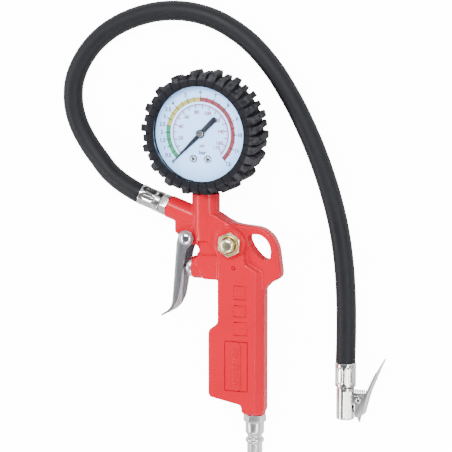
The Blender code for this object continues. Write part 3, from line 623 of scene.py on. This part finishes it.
# ------------------------------------------------------------------ painted casting
GRIP = [(10.4, -22.0), (10.4, -60.4), (9.0, -62.4), (4.9, -65.3), (4.1, -67.6), (4.1, -107.4),
        (5.4, -109.2), (26.0, -113.3), (26.4, -117.4), (27.8, -118.6),
        (38.4, -118.6), (40.2, -116.6), (40.2, -38.4), (43.0, -34.8), (43.0, -30.0), (28.0, -22.0)]
CORE = [(-5.0, -10.5), (-1.5, -14.0), (-1.5, -18.0), (-6.6, -21.5), (0.0, -33.9), (12.0, -34.0), (28.0, -33.0),
        (29.0, -22.0), (27.6, -9.0), (22.0, 1.2), (14.0, 4.6), (8.6, 8.0), (4.0, 9.0), (-3.0, 3.0)]
EYE = [(18.0, 3.2), (23.4, 2.0), (36.6, 0.9), (40.3, -0.4), (45.2, -4.2), (47.6, -8.0), (49.2, -12.2),
       (51.2, -27.2), (51.0, -29.8), (49.2, -31.7), (43.6, -34.4), (40.6, -38.6), (30.0, -42.0),
       (20.0, -30.0)]
EYE_HOLE = [(30.4, -4.0), (29.4, -6.0), (29.6, -8.6), (32.2, -13.2), (36.8, -18.1), (39.6, -19.7),
            (43.0, -19.8), (44.5, -17.8), (44.8, -13.2), (44.2, -10.4), (42.0, -6.6), (38.9, -4.2),
            (35.6, -3.4)]


def gun_casting():
    """The painted gun: overlapping solids melted into one skin, then recesses and bores."""
    body = slab("gun_casting", rounded(GRIP, 1.2), -FRONT, FRONT, 2.2, 4)
    edge = [[(35.4, s * 9.2), (35.4, s * FRONT), (40.3, s * 4.0), (44.0, s * 4.0), (44.0, s * 9.2)]
            for s in (1, -1)]
    cut(body, *[beam("edge", outline, -124.0, -24.0) for outline in edge])
    lug = [(-19.6, 3.5), (-19.6, -4.6), (-15.4, -8.6), (-13.4, -12.4), (-9.2, -13.0), (-7.6, -12.2)]
    lug += [(-4.0, -19.5), (-6.0, -30.0), (4.0, -32.0), (16.0, -20.0), (6.0, 6.0), (-8.0, 9.0)]
    solids = [slab("core", rounded(CORE, 1.5), -7.4, 7.4, 1.6, 3),
              slab("eye", rounded(EYE, 3.0), -4.6, 4.6, 1.9, 3),
              slab("lug", lug, -5.2, 5.2, 0.9, 2),
              slab("collar", rounded([(14.0, 1.5), (20.0, 1.0), (26.5, -2.5), (28.4, -8.0), (27.2, -15.5),
                                      (28.4, -21.0), (35.6, -34.0), (12.6, -36.0), (11.5, -22.0),
                                      (8.5, -14.0), (8.8, -4.0)], 2.0), -FRONT, FRONT, 1.8, 4),
              turned("neck", [(0, -20.0), (5.6, -20.0), (7.9, -9.0), (NECK_R, -1.0), (NECK_R, NECK_TOP + 0.9),
                              (0, NECK_TOP + 0.9)], (0, 0, 0), Y_AXIS, 96),
              bar("valve_boss", VALVE_R, -8.6, 22.0, (0, VALVE_Y, 0), X_AXIS, 96, 0.7),
              bar("outlet_boss", OUTLET_R, -26.0, 0.9, (*OUTLET, 0), OUT, 96, 0.5),
              bar("bleed_boss", 9.4, -4.0, BOSS_TOP + 0.9, (*BLEED, 0), Z_AXIS, 96, 0.5),
              bar("inlet_boss", 7.0, 108.0, 0.9 - INLET_Y, (INLET_X, 0, 0), DOWN_Y, 96, 0.5)]
    merge(body, *solids)
    bake(body, "REMESH", mode="VOXEL", voxel_size=0.36 * MM)
    bake(body, "SMOOTH", factor=0.5, iterations=20)

    hole = slab("hole", rounded(EYE_HOLE, 1.6), -12, 12)
    grooves = [frame_groove(21.5, right, low, high)
               for right, low, high in ((29.8, -45.3, -36.2), (29.9, -56.5, -48.7), (30.6, -68.3, -59.4))]
    grooves.append(frame_groove(15.4, 31.0, -104.2, -71.9))
    closing = slab("groove", [(15.4, -103.9), (15.9, -103.9), (15.9, -72.2), (15.4, -72.2)],
                   FRONT - 0.8, FRONT + 2)
    faces = [beam("inlet_face", [(20, -12), (46, -12), (46, 12), (20, 12)], -126.0, INLET_Y),
             beam("neck_face", [(-12, -12), (12, -12), (12, 12), (-12, 12)], NECK_TOP, 26.0),
             beam("valve_face", [(-14.0, -12), (-7.7, -12), (-7.7, 12), (-14.0, 12)], -36.0, -20.2),
             bar("outlet_face", 10.0, 0.0, 4.0, (*OUTLET, 0), OUT),
             bar("bleed_face", 9.9, BOSS_TOP, 14.0, (*BLEED, 0), Z_AXIS)]
    web = slab("web", rounded([(-3.0, -9.5), (3.0, -9.0), (8.0, -13.6), (10.6, -18.4), (-1.5, -18.8)],
                              0.8), 6.1, 12.0)
    steps = [beam("step", [(21.5, FRONT - 0.15), (right, FRONT - 0.95), (right, FRONT + 2),
                           (21.5, FRONT + 2)], low, high)
             for right, low, high in ((29.8, -45.3, -36.2), (29.9, -56.5, -48.7), (30.6, -68.3, -59.4))]
    mark = turned("mark", [(0.8, 7.6), (1.3, 7.6), (1.3, 12.0), (0.8, 12.0)], (21.4, -25.2, 0), Z_AXIS, 32)
    bores = [turned("valve_bore", [(0, -12.0), (4.9, -12.0), (4.9, 28.0), (0, 28.0)],
                    (0, VALVE_Y, 0), X_AXIS, 48),
             turned("neck_bore", [(0, 7.5), (5.3, 7.5), (5.3, 30.0), (0, 30.0)], (0, 0, 0), Y_AXIS, 48),
             turned("outlet_bore", [(0, -11.0), (4.9, -11.0), (4.9, 5.0), (0, 5.0)], (*OUTLET, 0), OUT, 48),
             turned("bleed_bore", [(0, -6.4), (5.4, -6.4), (5.4, 14.0), (0, 14.0)], (*BLEED, 0), Z_AXIS, 48),
             turned("pivot_bore", [(0, -12), (2.3, -12), (2.3, 12), (0, 12)], (*PIVOT, 0), Z_AXIS, 32)]
    notch = slab("notch", [(-14.0, -19.4), (-7.4, -19.6), (-5.2, -18.1)] + arc(-5.6, -15.0, 3.1, -80, 80, 16)
                 + [(-5.6, -11.9), (-8.6, -13.2), (-14.0, -13.6)], -12, 12)
    cut(body, merge(hole, mark, notch, *steps, *bores), merge(*grooves), merge(web, closing, *faces))
    soften(body, 40)
    show(body, "enamel", "gun", "gun_body")
    grip_badge()


def frame_groove(left, right, low, high):
    """A fine groove along three sides of a rectangle on the grip's flat face, open at the left."""
    w = 0.5
    return slab("groove", [(left, low), (right, low), (right, high), (left, high), (left, high - w),
                           (right - w, high - w), (right - w, low + w), (left, low + w)],
                FRONT - 0.8, FRONT + 2)


def grip_badge():
    """Raised pill with slanted ribs in the grip's panel."""
    outline = arc(23.2, -75.2, 3.0, 180, 0, 16) + arc(23.2, -101.0, 3.0, 0, -180, 16)
    base = slab("grip_badge", outline, FRONT - 0.5, FRONT + 0.55, 0.35, 3)
    ribs = []
    for k in range(9):
        y = -98.8 + 2.65 * k
        ribs.append(slab("rib", rounded([(21.3, y - 0.9), (25.0, y + 0.2), (25.0, y + 1.3), (21.3, y + 0.2)],
                                        0.4, 2), FRONT + 0.2, FRONT + 0.95, 0.22, 2))
    merge(base, *ribs)
    soften(base, 40)
    show(base, "enamel", "gun", slot="gun_body")


# ------------------------------------------------------------------ inlet plug
def inlet_plug():
    o, d = (INLET_X, 0, 0), DOWN_Y
    collar = hexagon("inlet_hexagon", 12.7, 119.5, 124.6, o, d, 42)
    ease_edges(collar, 0.12, 2)
    show(collar, "satin", "gun", slot="inlet_nipple")
    shank = turned("inlet_plug", [(2.9, 107.0), (5.1, 107.0), (5.1, 119.4), (5.4, 119.4), (5.8, 124.0),
                                  (5.95, 124.3), (5.95, 131.0), (5.7, 131.7), (4.75, 133.0),
                                  (4.55, 133.4), (4.55, 134.3), (4.8, 134.6), (5.75, 135.3),
                                  (5.95, 135.8), (5.95, 136.8), (5.7, 137.4), (5.0, 138.2),
                                  (4.9, 138.6), (4.9, 145.2), (4.7, 145.7), (4.3, 146.0),
                                  (3.3, 146.0), (2.9, 145.5)], o, d, 96)
    show(shank, "satin", "gun", "inlet_nipple")


# ------------------------------------------------------------------ trigger and its valve
def trigger_lever():
    outline = [(-27.5, -59.0), (-23.0, -56.7), (-19.4, -53.4), (-16.2, -47.0), (-14.9, -40.0),
               (-13.2, -28.0), (-10.6, -15.4)]
    outline += arc(PIVOT[0], PIVOT[1], 5.2, -35, 150, 24)
    outline += [(-17.1, -10.4), (-18.3, -26.0), (-19.2, -38.0), (-20.3, -50.0), (-21.3, -52.8),
                (-23.6, -55.2), (-28.0, -57.9)]
    lever = slab("trigger_pressing", rounded(outline, 1.6, 5), -LEVER_HALF, LEVER_HALF)
    channel = slab("channel", [(-19.3, -53.6), (-4.0, -53.6), (-4.0, 0.0), (-20.0, 0.0),
                               (-20.0, -10.2), (-15.9, -10.2), (-17.1, -26.0), (-18.0, -38.0),
                               (-19.1, -49.8)], 1.1 - LEVER_HALF, LEVER_HALF - 1.1)
    cut(lever, channel, bar("eye", 2.3, -12, 12, (*PIVOT, 0), Z_AXIS))
    ease_edges(lever, 0.45, 3, 35)
    show(lever, "lever", "trigger", "trigger_lever")
    pin = turned("trigger_rivet", [(0, -10.2), (1.2, -10.1), (2.3, -9.8), (3.3, -9.3), (4.0, -8.6),
                                   (4.3, -8.0), (2.0, -8.0), (2.0, 8.0), (4.3, 8.0), (4.3, 8.2),
                                   (4.0, 8.75), (3.3, 9.35), (2.3, 9.85), (1.2, 10.12), (0, 10.2)],
                 (*PIVOT, 0), Z_AXIS, 64)
    show(pin, "rivet", "gun", "trigger_pin")


def gland_nut():
    flange = turned("gland_flange", [(1.8, -11.3), (5.7, -11.3), (6.15, -11.15), (6.4, -10.75),
                                     (6.4, -8.4), (6.25, -8.1), (6.0, -8.0), (4.6, -8.0), (4.6, 11.0),
                                     (2.6, 11.0), (2.6, -4.0), (1.8, -4.0)],
                    (0, VALVE_Y, 0), X_AXIS, 96)
    show(flange, "blue_zinc", "gun", "valve_gland_nut")
    stem = turned("valve_plunger", [(0, -16.6), (0.9, -16.55), (1.4, -16.2), (1.5, -15.8), (1.5, 13.1),
                                    (4.0, 13.1), (4.0, 14.6), (1.6, 14.6), (1.6, 17.5), (0, 17.5)],
                  (0, VALVE_Y, 0), X_AXIS, 48)
    show(stem, "wire", "valve", "valve_stem")
    spring("valve_spring", (0, VALVE_Y, 0), X_AXIS, 3.2, 27.2, 15.3, 5, 0.4)


# ------------------------------------------------------------------ bleed valve
def bleed_valve():
    o, d = (*BLEED, 0), Z_AXIS
    nut = hexagon("bleed_hexagon", 14.0, BOSS_TOP + 0.1, 13.5, o, d, 85, 0.9)
    cut(nut, bar("core", 5.3, 5.0, 16.0, o, d, 64))
    ease_edges(nut, 0.15, 2)
    show(nut, "gold_zinc", "gun", slot="bleed_valve_nut")
    sleeve = turned("bleed_collar", [(5.05, 14.4), (5.7, 14.4), (5.95, 14.25), (6.05, 13.9), (6.05, 13.6),
                                     (5.25, 12.9), (5.25, 1.0), (2.4, 1.0), (2.4, 4.0), (5.05, 4.0)],
                    o, d, 72)
    show(sleeve, "gold_ring", "gun", "bleed_valve_nut")

    def faceted(a, r, h):
        if h < 13.0 or r < 2.0:
            return r
        flat = (a - math.radians(20)) % math.radians(60) - math.radians(30)
        return min(r, 4.45 / math.cos(flat)) if h < 17.3 else r

    button = turned("bleed_cap", [(0, 18.2), (2.2, 18.18), (3.2, 18.0), (4.1, 17.5), (4.85, 16.7), (4.85, 13.4),
                                  (4.85, 12.8), (4.85, 8.2), (2.0, 8.2), (2.0, -1.6), (3.6, -1.6),
                                  (3.6, -2.8), (0, -2.8)], o, d, 72, faceted)
    show(button, "gold_zinc", "bleed", "bleed_button")
    spring("bleed_spring", o, d, 3.1, 4.4, 7.8, 3, 0.3)


# ------------------------------------------------------------------ gauge
def polar(r, degrees):
    a = math.radians(degrees)
    return (GAUGE[0] + r * math.cos(a), GAUGE[1] + r * math.sin(a))


def tread_ring():
    """Rubber guard: a notched front ring with two staggered rows of slanted lugs down its side."""
    ring = turned("rubber_guard", [(30.0, 13.9), (30.15, 14.8), (30.6, 15.35), (31.2, 15.5), (34.2, 15.5),
                                   (34.9, 15.2), (35.2, 13.8), (35.3, 11.0), (35.3, 4.0), (35.2, -4.0),
                                   (35.0, -10.0), (33.9, -13.2), (32.9, -14.0), (31.9, -14.0),
                                   (31.9, 13.9)], (*GAUGE, 0), Z_AXIS, 216)
    notches = []
    for k in range(36):
        a = 10 * k + 1.0
        notches.append(slab("notch", [polar(30.7, a - 0.5), polar(37.0, a - 0.45), polar(37.0, a + 0.45),
                                      polar(30.7, a + 0.5)], 14.4, 17.0))
    cut(ring, merge(*notches))
    flat = slab("flat", [(-12, 15), (12, 15), (12, 21.0), (-12, 21.0)], -20, 20)
    stem = bar("stem", 6.4, 10.0, 36.0, (0, 0, 0), Y_AXIS, 64)
    cut(ring, flat, stem)
    lugs = []
    for k in range(36):
        lugs.append(tread_lug(10 * k + 1.0, k % 2 == 1))
    lugs = merge(*lugs)
    cut(lugs, slab("flat", [(-12, 15), (12, 15), (12, 21.0), (-12, 21.0)], -20, 20),
        bar("stem", 6.4, 10.0, 36.0, (0, 0, 0), Y_AXIS, 64))
    bake(lugs, "BEVEL", width=0.18 * MM, segments=2, limit_method="ANGLE",
         angle_limit=math.radians(25))
    merge(ring, lugs)
    soften(ring, 40)
    show(ring, "tread", "gun", "gauge_guard")


def tread_lug(heading, tall):
    """One lug: starts at the front ring, swells, and ends in a chamfered tip part way down."""
    if tall:
        stations = [(15.4, 34.9, 4.3, 0.0), (11.6, 39.5, 3.7, 0.5), (4.0, 39.55, 3.5, 2.0),
                    (-6.8, 39.6, 3.3, 4.0), (-9.4, 37.0, 3.2, 4.6)]
    else:
        stations = [(15.4, 34.9, 4.3, 0.0), (12.6, 37.6, 3.6, 0.4), (4.0, 37.9, 3.3, 2.0),
                    (-9.4, 38.0, 3.0, 4.8), (-11.8, 36.0, 3.0, 5.4)]
    bm = bmesh.new()
    rings = []
    for z, top, half, slant in stations:
        middle = heading + 5.0 + slant - 0.6
        foot = [polar(34.0, middle - half), polar(top, middle - half + 0.5),
                polar(top, middle + half - 0.5), polar(34.0, middle + half)]
        rings.append([bm.verts.new(P(x, y, z)) for x, y in foot])
    for a, b in zip(rings, rings[1:]):
        for i in range(4):
            j = (i + 1) % 4
            bm.faces.new((a[i], a[j], b[j], b[i]))
    bm.faces.new(rings[0])
    bm.faces.new(rings[-1][::-1])
    return put("lug", bm)


def bar_angle(pressure):
    return 225.0 - 22.5 * pressure


def psi_angle(pressure):
    return bar_angle(pressure / 14.5038)


def printed(name, outlines, finish, lift=0.05):
    """Ink on the dial, and the painted shade around the dial rivets: thin plates with the given outlines, in
    the plane frame.
    """
    bm = bmesh.new()
    for outline in outlines:
        low = [bm.verts.new(P(x, y, DIAL_Z)) for x, y in outline]
        high = [bm.verts.new(P(x, y, DIAL_Z + lift)) for x, y in outline]
        n = len(outline)
        bm.faces.new(low[::-1])
        bm.faces.new(high)
        for i in range(n):
            bm.faces.new((low[i], low[(i + 1) % n], high[(i + 1) % n], high[i]))
    return show(put(name, bm), finish, "gun", slot="gauge_dial")


def lettering(name, words, finish):
    """Numbers and units on the dial from Blender's own letter shapes: (text, x, y, height)."""
    bm = bmesh.new()
    for text, x, y, height in words:
        curve = bpy.data.curves.new("word", "FONT")
        curve.body = text
        curve.size = height * 1.38 * MM
        curve.align_x, curve.align_y = "CENTER", "CENTER"
        curve.extrude = 0.03 * MM
        curve.offset = 0.075 * MM
        curve.resolution_u = 4
        ob = bpy.data.objects.new("word", curve)
        bpy.context.scene.collection.objects.link(ob)
        bpy.context.view_layer.update()
        me = bpy.data.meshes.new_from_object(ob.evaluated_get(bpy.context.evaluated_depsgraph_get()))
        me.transform(Matrix.Translation(P(x, y, DIAL_Z + 0.04)))
        bm.from_mesh(me)
        drop(ob)
    return show(put(name, bm), finish, "gun", slot="gauge_dial")


def band(r0, r1, start, end):
    """Ring sector from one bar reading to another."""
    a0, a1 = bar_angle(start), bar_angle(end)
    n = max(4, int(abs(a1 - a0) / 2.5))
    gx, gy = GAUGE
    return arc(gx, gy, r1, a0, a1, n) + arc(gx, gy, r0, a1, a0, n)


def tick(angle, r0, r1, width):
    x0, y0 = polar(r0, angle)
    x1, y1 = polar(r1, angle)
    side = math.radians(angle + 90)
    dx, dy = math.cos(side) * width / 2, math.sin(side) * width / 2
    return [(x0 - dx, y0 - dy), (x1 - dx, y1 - dy), (x1 + dx, y1 + dy), (x0 + dx, y0 + dy)]


def dial():
    face = turned("dial_face", [(1.2, 9.0), (30.2, 9.0), (30.2, 9.4), (30.1, 9.5), (1.2, 9.5)],
                  (*GAUGE, 0), Z_AXIS, 144)
    show(face, "dial", "gun", "gauge_dial")
    printed("green_band", [band(20.1, 22.8, 0.0, 2.5)], "green_ink")
    printed("yellow_band", [band(20.1, 22.8, 2.5, 6.0)], "yellow_ink")
    printed("red_band", [band(20.1, 22.8, 6.0, 12.0)], "red_band")
    marks = [tick(bar_angle(b), 20.1, 24.1, 0.55) for b in range(13)]
    marks += [tick(bar_angle(b + 0.5), 20.1, 23.5, 0.42) for b in range(12)]
    marks += [tick(bar_angle(b / 10), 21.9, 22.8, 0.14) for b in range(1, 120) if b % 5]
    printed("bar_ticks", marks, "black_ink", 0.08)
    psi = [band(18.1, 18.6, 0.0, 12.0)]
    psi += [tick(psi_angle(p), 17.0, 18.4, 0.22) for p in range(2, 174, 2) if p % 10]
    psi += [tick(psi_angle(p), 15.8, 18.4, 0.55) for p in range(0, 171, 10)]
    printed("psi_ticks", psi, "red_ink")
    words = [(text, *polar(25.9, bar_angle(b)), 2.4) for text, b in
             (("0", 0), ("0.5", 0.5), ("1", 1), ("1.5", 1.5), ("2", 2), ("2.5", 2.5), ("3", 3),
              ("3.5", 3.5), ("4", 4), ("5", 5), ("6", 6), ("7", 7), ("8", 8), ("9", 9), ("10", 10),
              ("11", 11), ("12", 12))]
    words.append(("bar", GAUGE[0] + 1.3, GAUGE[1] - 11.8, 2.5))
    lettering("bar_numbers", words, "black_ink")
    words = [(str(p), *polar(13.6, psi_angle(p)), 2.3) for p in
             (20, 40, 60, 80, 100, 120, 140, 160, 170)]
    words.append(("psi", GAUGE[0] + 1.0, GAUGE[1] - 7.4, 2.2))
    lettering("psi_numbers", words, "red_ink")
    # Painted shade: a dark ink disc under each dial rivet head, seen as a ring of shade around the head.
    shade = [arc(GAUGE[0] + sx, GAUGE[1] - 15.8, 2.45, 0, 340, 24) for sx in (-4.8, 4.8)]
    printed("painted_rivet_shade", shade, "black_ink", 0.03)
    for name, sx in (("left", -4.8), ("right", 4.8)):
        screw = turned("dial_rivet_" + name, [(0, 6.4), (0.8, 6.4), (0.8, 9.55), (2.05, 9.55), (2.05, 9.8),
                                              (1.8, 10.2), (1.2, 10.5), (0.5, 10.6), (0, 10.6)],
                       (GAUGE[0] + sx, GAUGE[1] - 15.8, 0), Z_AXIS, 40)
        show(screw, "rivet", "gun", "dial_screw_" + name)


def needle():
    aim = math.radians(225)

    def along(s, t):
        return (GAUGE[0] + math.cos(aim) * s - math.sin(aim) * t,
                GAUGE[1] + math.sin(aim) * s + math.cos(aim) * t)

    tail = [along(-14.6 + 1.7 * (1 - math.sin(math.radians(b))), 1.7 * math.cos(math.radians(b)))
            for b in range(0, 181, 15)]
    hand = [along(25.6, 0.22), along(16.0, 0.70), along(2.0, 1.35)] + tail
    hand += [along(2.0, -1.35), along(16.0, -0.70), along(25.6, -0.22)]
    blade = slab("needle_blade", hand, 10.05, 10.5, 0.12, 2)
    boss = turned("needle_boss", [(0.76, 9.9), (2.7, 9.9), (2.7, 10.75), (2.5, 10.9), (0.76, 10.9)],
                  (*GAUGE, 0), Z_AXIS, 64)
    merge(blade, boss)
    soften(blade, 30)
    show(blade, "needle", "needle", "pointer")
    cap = turned("needle_cap", [(0, 10.8), (2.0, 10.8), (2.1, 10.9), (2.1, 11.15), (1.9, 11.3), (0.5, 11.3),
                                (0.4, 11.2), (0, 11.2)], (*GAUGE, 0), Z_AXIS, 64)
    show(cap, "nickel", "needle", slot="pointer")


def gauge():
    tread_ring()
    case = turned("gauge_can", [(0, -11.6), (29.4, -11.6), (30.6, -11.2), (31.3, -10.2), (31.4, -9.0),
                                (31.4, 13.5), (31.2, 13.8), (30.9, 13.8), (30.9, -10.3), (0, -10.7)],
                  (*GAUGE, 0), Z_AXIS, 144)
    cut(case, bar("stem", 5.6, 20.0, 36.0, (0, 0, 0), Y_AXIS, 64))
    soften(case, 35)
    show(case, "lacquer", "gun", "gauge_case")
    dial()
    needle()
    lens = turned("gauge_window", [(0, 11.8), (30.3, 11.8), (30.6, 12.0), (30.6, 13.2), (30.2, 13.6),
                                   (0, 13.6)], (*GAUGE, 0), Z_AXIS, 144)
    show(lens, "lens", "gun", "gauge_lens")


# ------------------------------------------------------------------ hose ends and chuck
def crimped(name, profile, low, high, origin, direction, turn=0.0):
    """A ferrule squeezed by eight jaws between two heights, with a ridge left between the jaws."""
    def squeeze(a, r, h):
        if r < 6.2 or not low < h < high:
            return r
        ends = max(0.0, min(1.0, (h - low) / 2.6, (high - h) / 1.8))
        jaw = (a + math.radians(turn)) % math.radians(45) - math.radians(22.5)
        across = abs(jaw) / math.radians(22.5)
        arch = max(0.0, 1.0 - (across / (0.86 * math.sqrt(max(ends, 0.01)))) ** 4)
        return r - 0.46 * arch * min(1.0, ends * 1.6)
    fine = []
    m = len(profile)
    for k in range(m):
        (r0, h0), (r1, h1) = profile[k], profile[(k + 1) % m]
        pieces = max(1, int(abs(h1 - h0) / 0.5)) if min(r0, r1) > 6.2 else 1
        fine += [(r0 + (r1 - r0) * i / pieces, h0 + (h1 - h0) * i / pieces) for i in range(pieces)]
    return turned(name, fine, origin, direction, 144, squeeze, 30)


def gun_hose_end():
    o, d = (*OUTLET, 0), OUT
    fitting = hexagon("outlet_hexagon", 12.0, 0.4, 5.6, o, d, 30)
    ease_edges(fitting, 0.12, 2)
    tail = turned("barb", [(2.0, -10.0), (4.6, -10.0), (4.6, 0.6), (4.4, 5.9), (3.5, 6.2), (3.5, 22.0),
                           (3.2, 22.6), (2.0, 22.6)], o, d, 64)
    merge(fitting, tail)
    soften(fitting, 30)
    show(fitting, "nickel", "gun", "hose_fitting")
    ferrule = crimped("gun_ferrule", [(4.2, 5.95), (6.2, 5.95), (6.5, 6.1), (6.65, 6.5), (6.65, 19.9),
                                      (6.6, 20.3), (6.35, 20.5), (6.0, 20.3), (5.95, 7.2), (4.2, 7.2)],
                      8.2, 19.0, o, d, 10)
    show(ferrule, "nickel", "gun", "hose_ferrule_gun")
    return fitting, ferrule


def chuck():
    cx = CHUCK_X
    o, d = (cx, 0, CHUCK_Z), DOWN_Y
    ferrule = crimped("chuck_ferrule", [(6.0, 83.65), (6.35, 83.6), (6.6, 83.85), (6.65, 84.3),
                                        (6.65, 98.0), (6.55, 98.5), (6.25, 98.7), (4.0, 98.7),
                                        (4.0, 97.9), (5.95, 97.9)], 85.4, 97.2, o, d, 8)
    show(ferrule, "nickel", "gun", "hose_ferrule_chuck")

    def flatted(a, r, h):
        if h < 101.4 or h > 118.4 or r < 5.5:
            return r
        return min(r, 4.85 / max(0.2, math.cos((a - FLAT_TURN + math.pi) % (2 * math.pi) - math.pi)))

    profile = [(2.0, 81.0), (3.2, 81.0), (3.5, 81.6), (3.5, 97.8), (3.7, 99.1), (5.2, 99.3),
               (5.6, 99.6), (5.7, 100.0), (5.7, 101.39), (5.7, 101.41), (5.7, 118.39), (5.7, 118.41),
               (5.7, 119.0), (5.55, 119.4), (5.2, 119.6), (4.4, 119.6), (4.2, 119.3), (4.2, 108.0),
               (2.0, 108.0)]
    body = turned("chuck_barrel", profile, o, d, 120, flatted, 30)
    ear = slab("ear", rounded([(cx + 4.6, -103.7), (cx + 9.8, -103.8), (cx + 11.6, -104.9), (cx + 12.2, -106.2),
                               (cx + 11.0, -108.2), (cx + 4.6, -109.6)], 0.8), CHUCK_Z - 3.6, CHUCK_Z + 3.6,
               0.3, 2)
    pin_at = (cx + 10.1, -106.2, CHUCK_Z)
    cut(ear, bar("pin_hole", 1.1, -6, 6, pin_at, Z_AXIS, 32))
    merge(body, ear)
    soften(body, 30)
    show(body, "nickel", "gun", "chuck_body")
    lever = clip_lever(cx)
    pin = turned("clip_rivet", [(0, -6.2), (1.2, -6.15), (1.6, -5.9), (1.8, -5.5), (1.8, -5.3), (1.0, -5.3),
                                (1.0, 5.3), (1.8, 5.3), (1.8, 5.5), (1.6, 5.9), (1.2, 6.15), (0, 6.2)],
                 pin_at, Z_AXIS, 40)
    show(pin, "rivet", "gun", "clip_pin")
    coil = spring("clip_spring", (cx, -101.9, CHUCK_Z), X_AXIS, 1.35, 5.5, 13.5, 7, 0.36)
    return ferrule, body, lever, pin, coil


# ------------------------------------------------------------------ springs
def spring(node_name, origin, direction, radius, fixed, free, turns, wire):
    """A coil spring from its fixed end to its free end."""
    line = line_frame(origin, direction)
    steps = 18
    count = turns * steps
    helix = []
    for i in range(count + 1):
        a = 2 * math.pi * i / steps
        h = fixed + (free - fixed) * i / count
        helix.append(line @ Vector((radius * MM * math.cos(a), radius * MM * math.sin(a), h * MM)))
    coil = tube(node_name.replace("spring", "coil"), helix, lambda i: wire * MM, 10)
    show(coil, "wire", "gun", node_name)
    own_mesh(coil)
    return coil


FLAT_TURN = math.radians(57)


def clip_lever(cx):
    outline = [(cx + 7.6, -116.6), (cx + 4.4, -116.8), (cx + 4.4, -115.4), (cx + 7.6, -113.0),
               (cx + 7.6, -106.6), (cx + 8.8, -104.8), (cx + 14.8, -102.0), (cx + 20.6, -88.9),
               (cx + 25.4, -79.6), (cx + 26.4, -79.1), (cx + 21.6, -88.5), (cx + 16.0, -101.8),
               (cx + 12.2, -116.0), (cx + 10.4, -117.2), (cx + 9.6, -121.3), (cx + 8.4, -118.0)]
    lever = slab("clip_pressing", outline, CHUCK_Z - 5.0, CHUCK_Z + 5.0)
    inside = slab("inside", [(cx + 6.0, -112.0), (cx + 6.0, -100.0), (cx + 14.0, -100.0),
                             (cx + 14.8, -102.0), (cx + 11.2, -115.6), (cx + 9.4, -115.6)],
                  CHUCK_Z - 4.0, CHUCK_Z + 4.0)
    claws = [slab("claw", [(cx + 2.0, -122.0), (cx + 2.0, -112.4), (cx + 7.59, -112.4), (cx + 7.59, -122.0)],
                  *sorted((CHUCK_Z + s * 2.0, CHUCK_Z + s * 6.0))) for s in (1, -1)]
    claws += [slab("claw", [(cx + 6.0, -123.0), (cx + 14.0, -123.0), (cx + 14.0, -117.1), (cx + 6.0, -117.1)],
                   *sorted((CHUCK_Z + s * 1.5, CHUCK_Z + s * 6.0))) for s in (1, -1)]
    taper = [wedge("taper", cx, s) for s in (1, -1)]
    cut(lever, inside, *claws, bar("pin", 1.1, -6, 6, (cx + 10.1, -106.2, CHUCK_Z), Z_AXIS, 32), *taper)
    ease_edges(lever, 0.2, 2, 35)
    grips = []
    for k in range(9):
        x, y = cx + 15.3 + 0.56 * k, -100.6 + 1.26 * k
        grips.append(bar("grip_line", 0.42, -3.6, 3.6, (x - 0.35, y, CHUCK_Z), Z_AXIS, 16, 0.2))
    grips.append(bar("knee", 0.8, -4.2, 4.2, (cx + 21.0, -88.6, CHUCK_Z), Z_AXIS, 24, 0.3))
    merge(lever, *grips)
    soften(lever, 35)
    return show(lever, "satin", "clip", "clip_lever")


def wedge(name, cx, side):
    """What is cut away so that the thumb blade narrows from its root to its tip."""
    bm = bmesh.new()
    root, tip = CHUCK_Z + side * 5.0, CHUCK_Z + side * 1.6
    out = CHUCK_Z + side * 8.0
    verts = []
    for x in (cx + 10.0, cx + 34.0):
        for y, z in ((-93.0, root), (-78.0, tip), (-78.0, out), (-93.0, out)):
            verts.append(bm.verts.new(P(x, y, z)))
    a, b = verts[:4], verts[4:]
    bm.faces.new(a)
    bm.faces.new(b[::-1])
    for i in range(4):
        bm.faces.new((a[i], a[(i + 1) % 4], b[(i + 1) % 4], b[i]))
    return put(name, bm)


# ------------------------------------------------------------------ pieces kept from the frame
KEPT = {"gauge_socket": "brass", "bourdon_tube": "brass", "movement_frame": "brass",
        "sector_gear": "brass", "pinion_arbor": "wire", "chuck_depressor": "brass", "valve_seat": "seal",
        "bleed_seal": "seal", "inlet_seal": "seal", "chuck_seal": "seal"}


def dress_kept_pieces():
    for name, finish in KEPT.items():
        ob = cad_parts[name]
        for s in ob.material_slots:
            s.material = FINISH[finish]
        if not ob.material_slots:
            ob.data.materials.append(FINISH[finish])


camera()
FINISH = finishes()
rubber_hose, hose_path, hose_length = hose()
studio()
gun_casting()
inlet_plug()
trigger_lever()
gland_nut()
bleed_valve()
gauge()
fitting_piece, gun_ferrule = gun_hose_end()
chuck_pieces = chuck()
dress_kept_pieces()
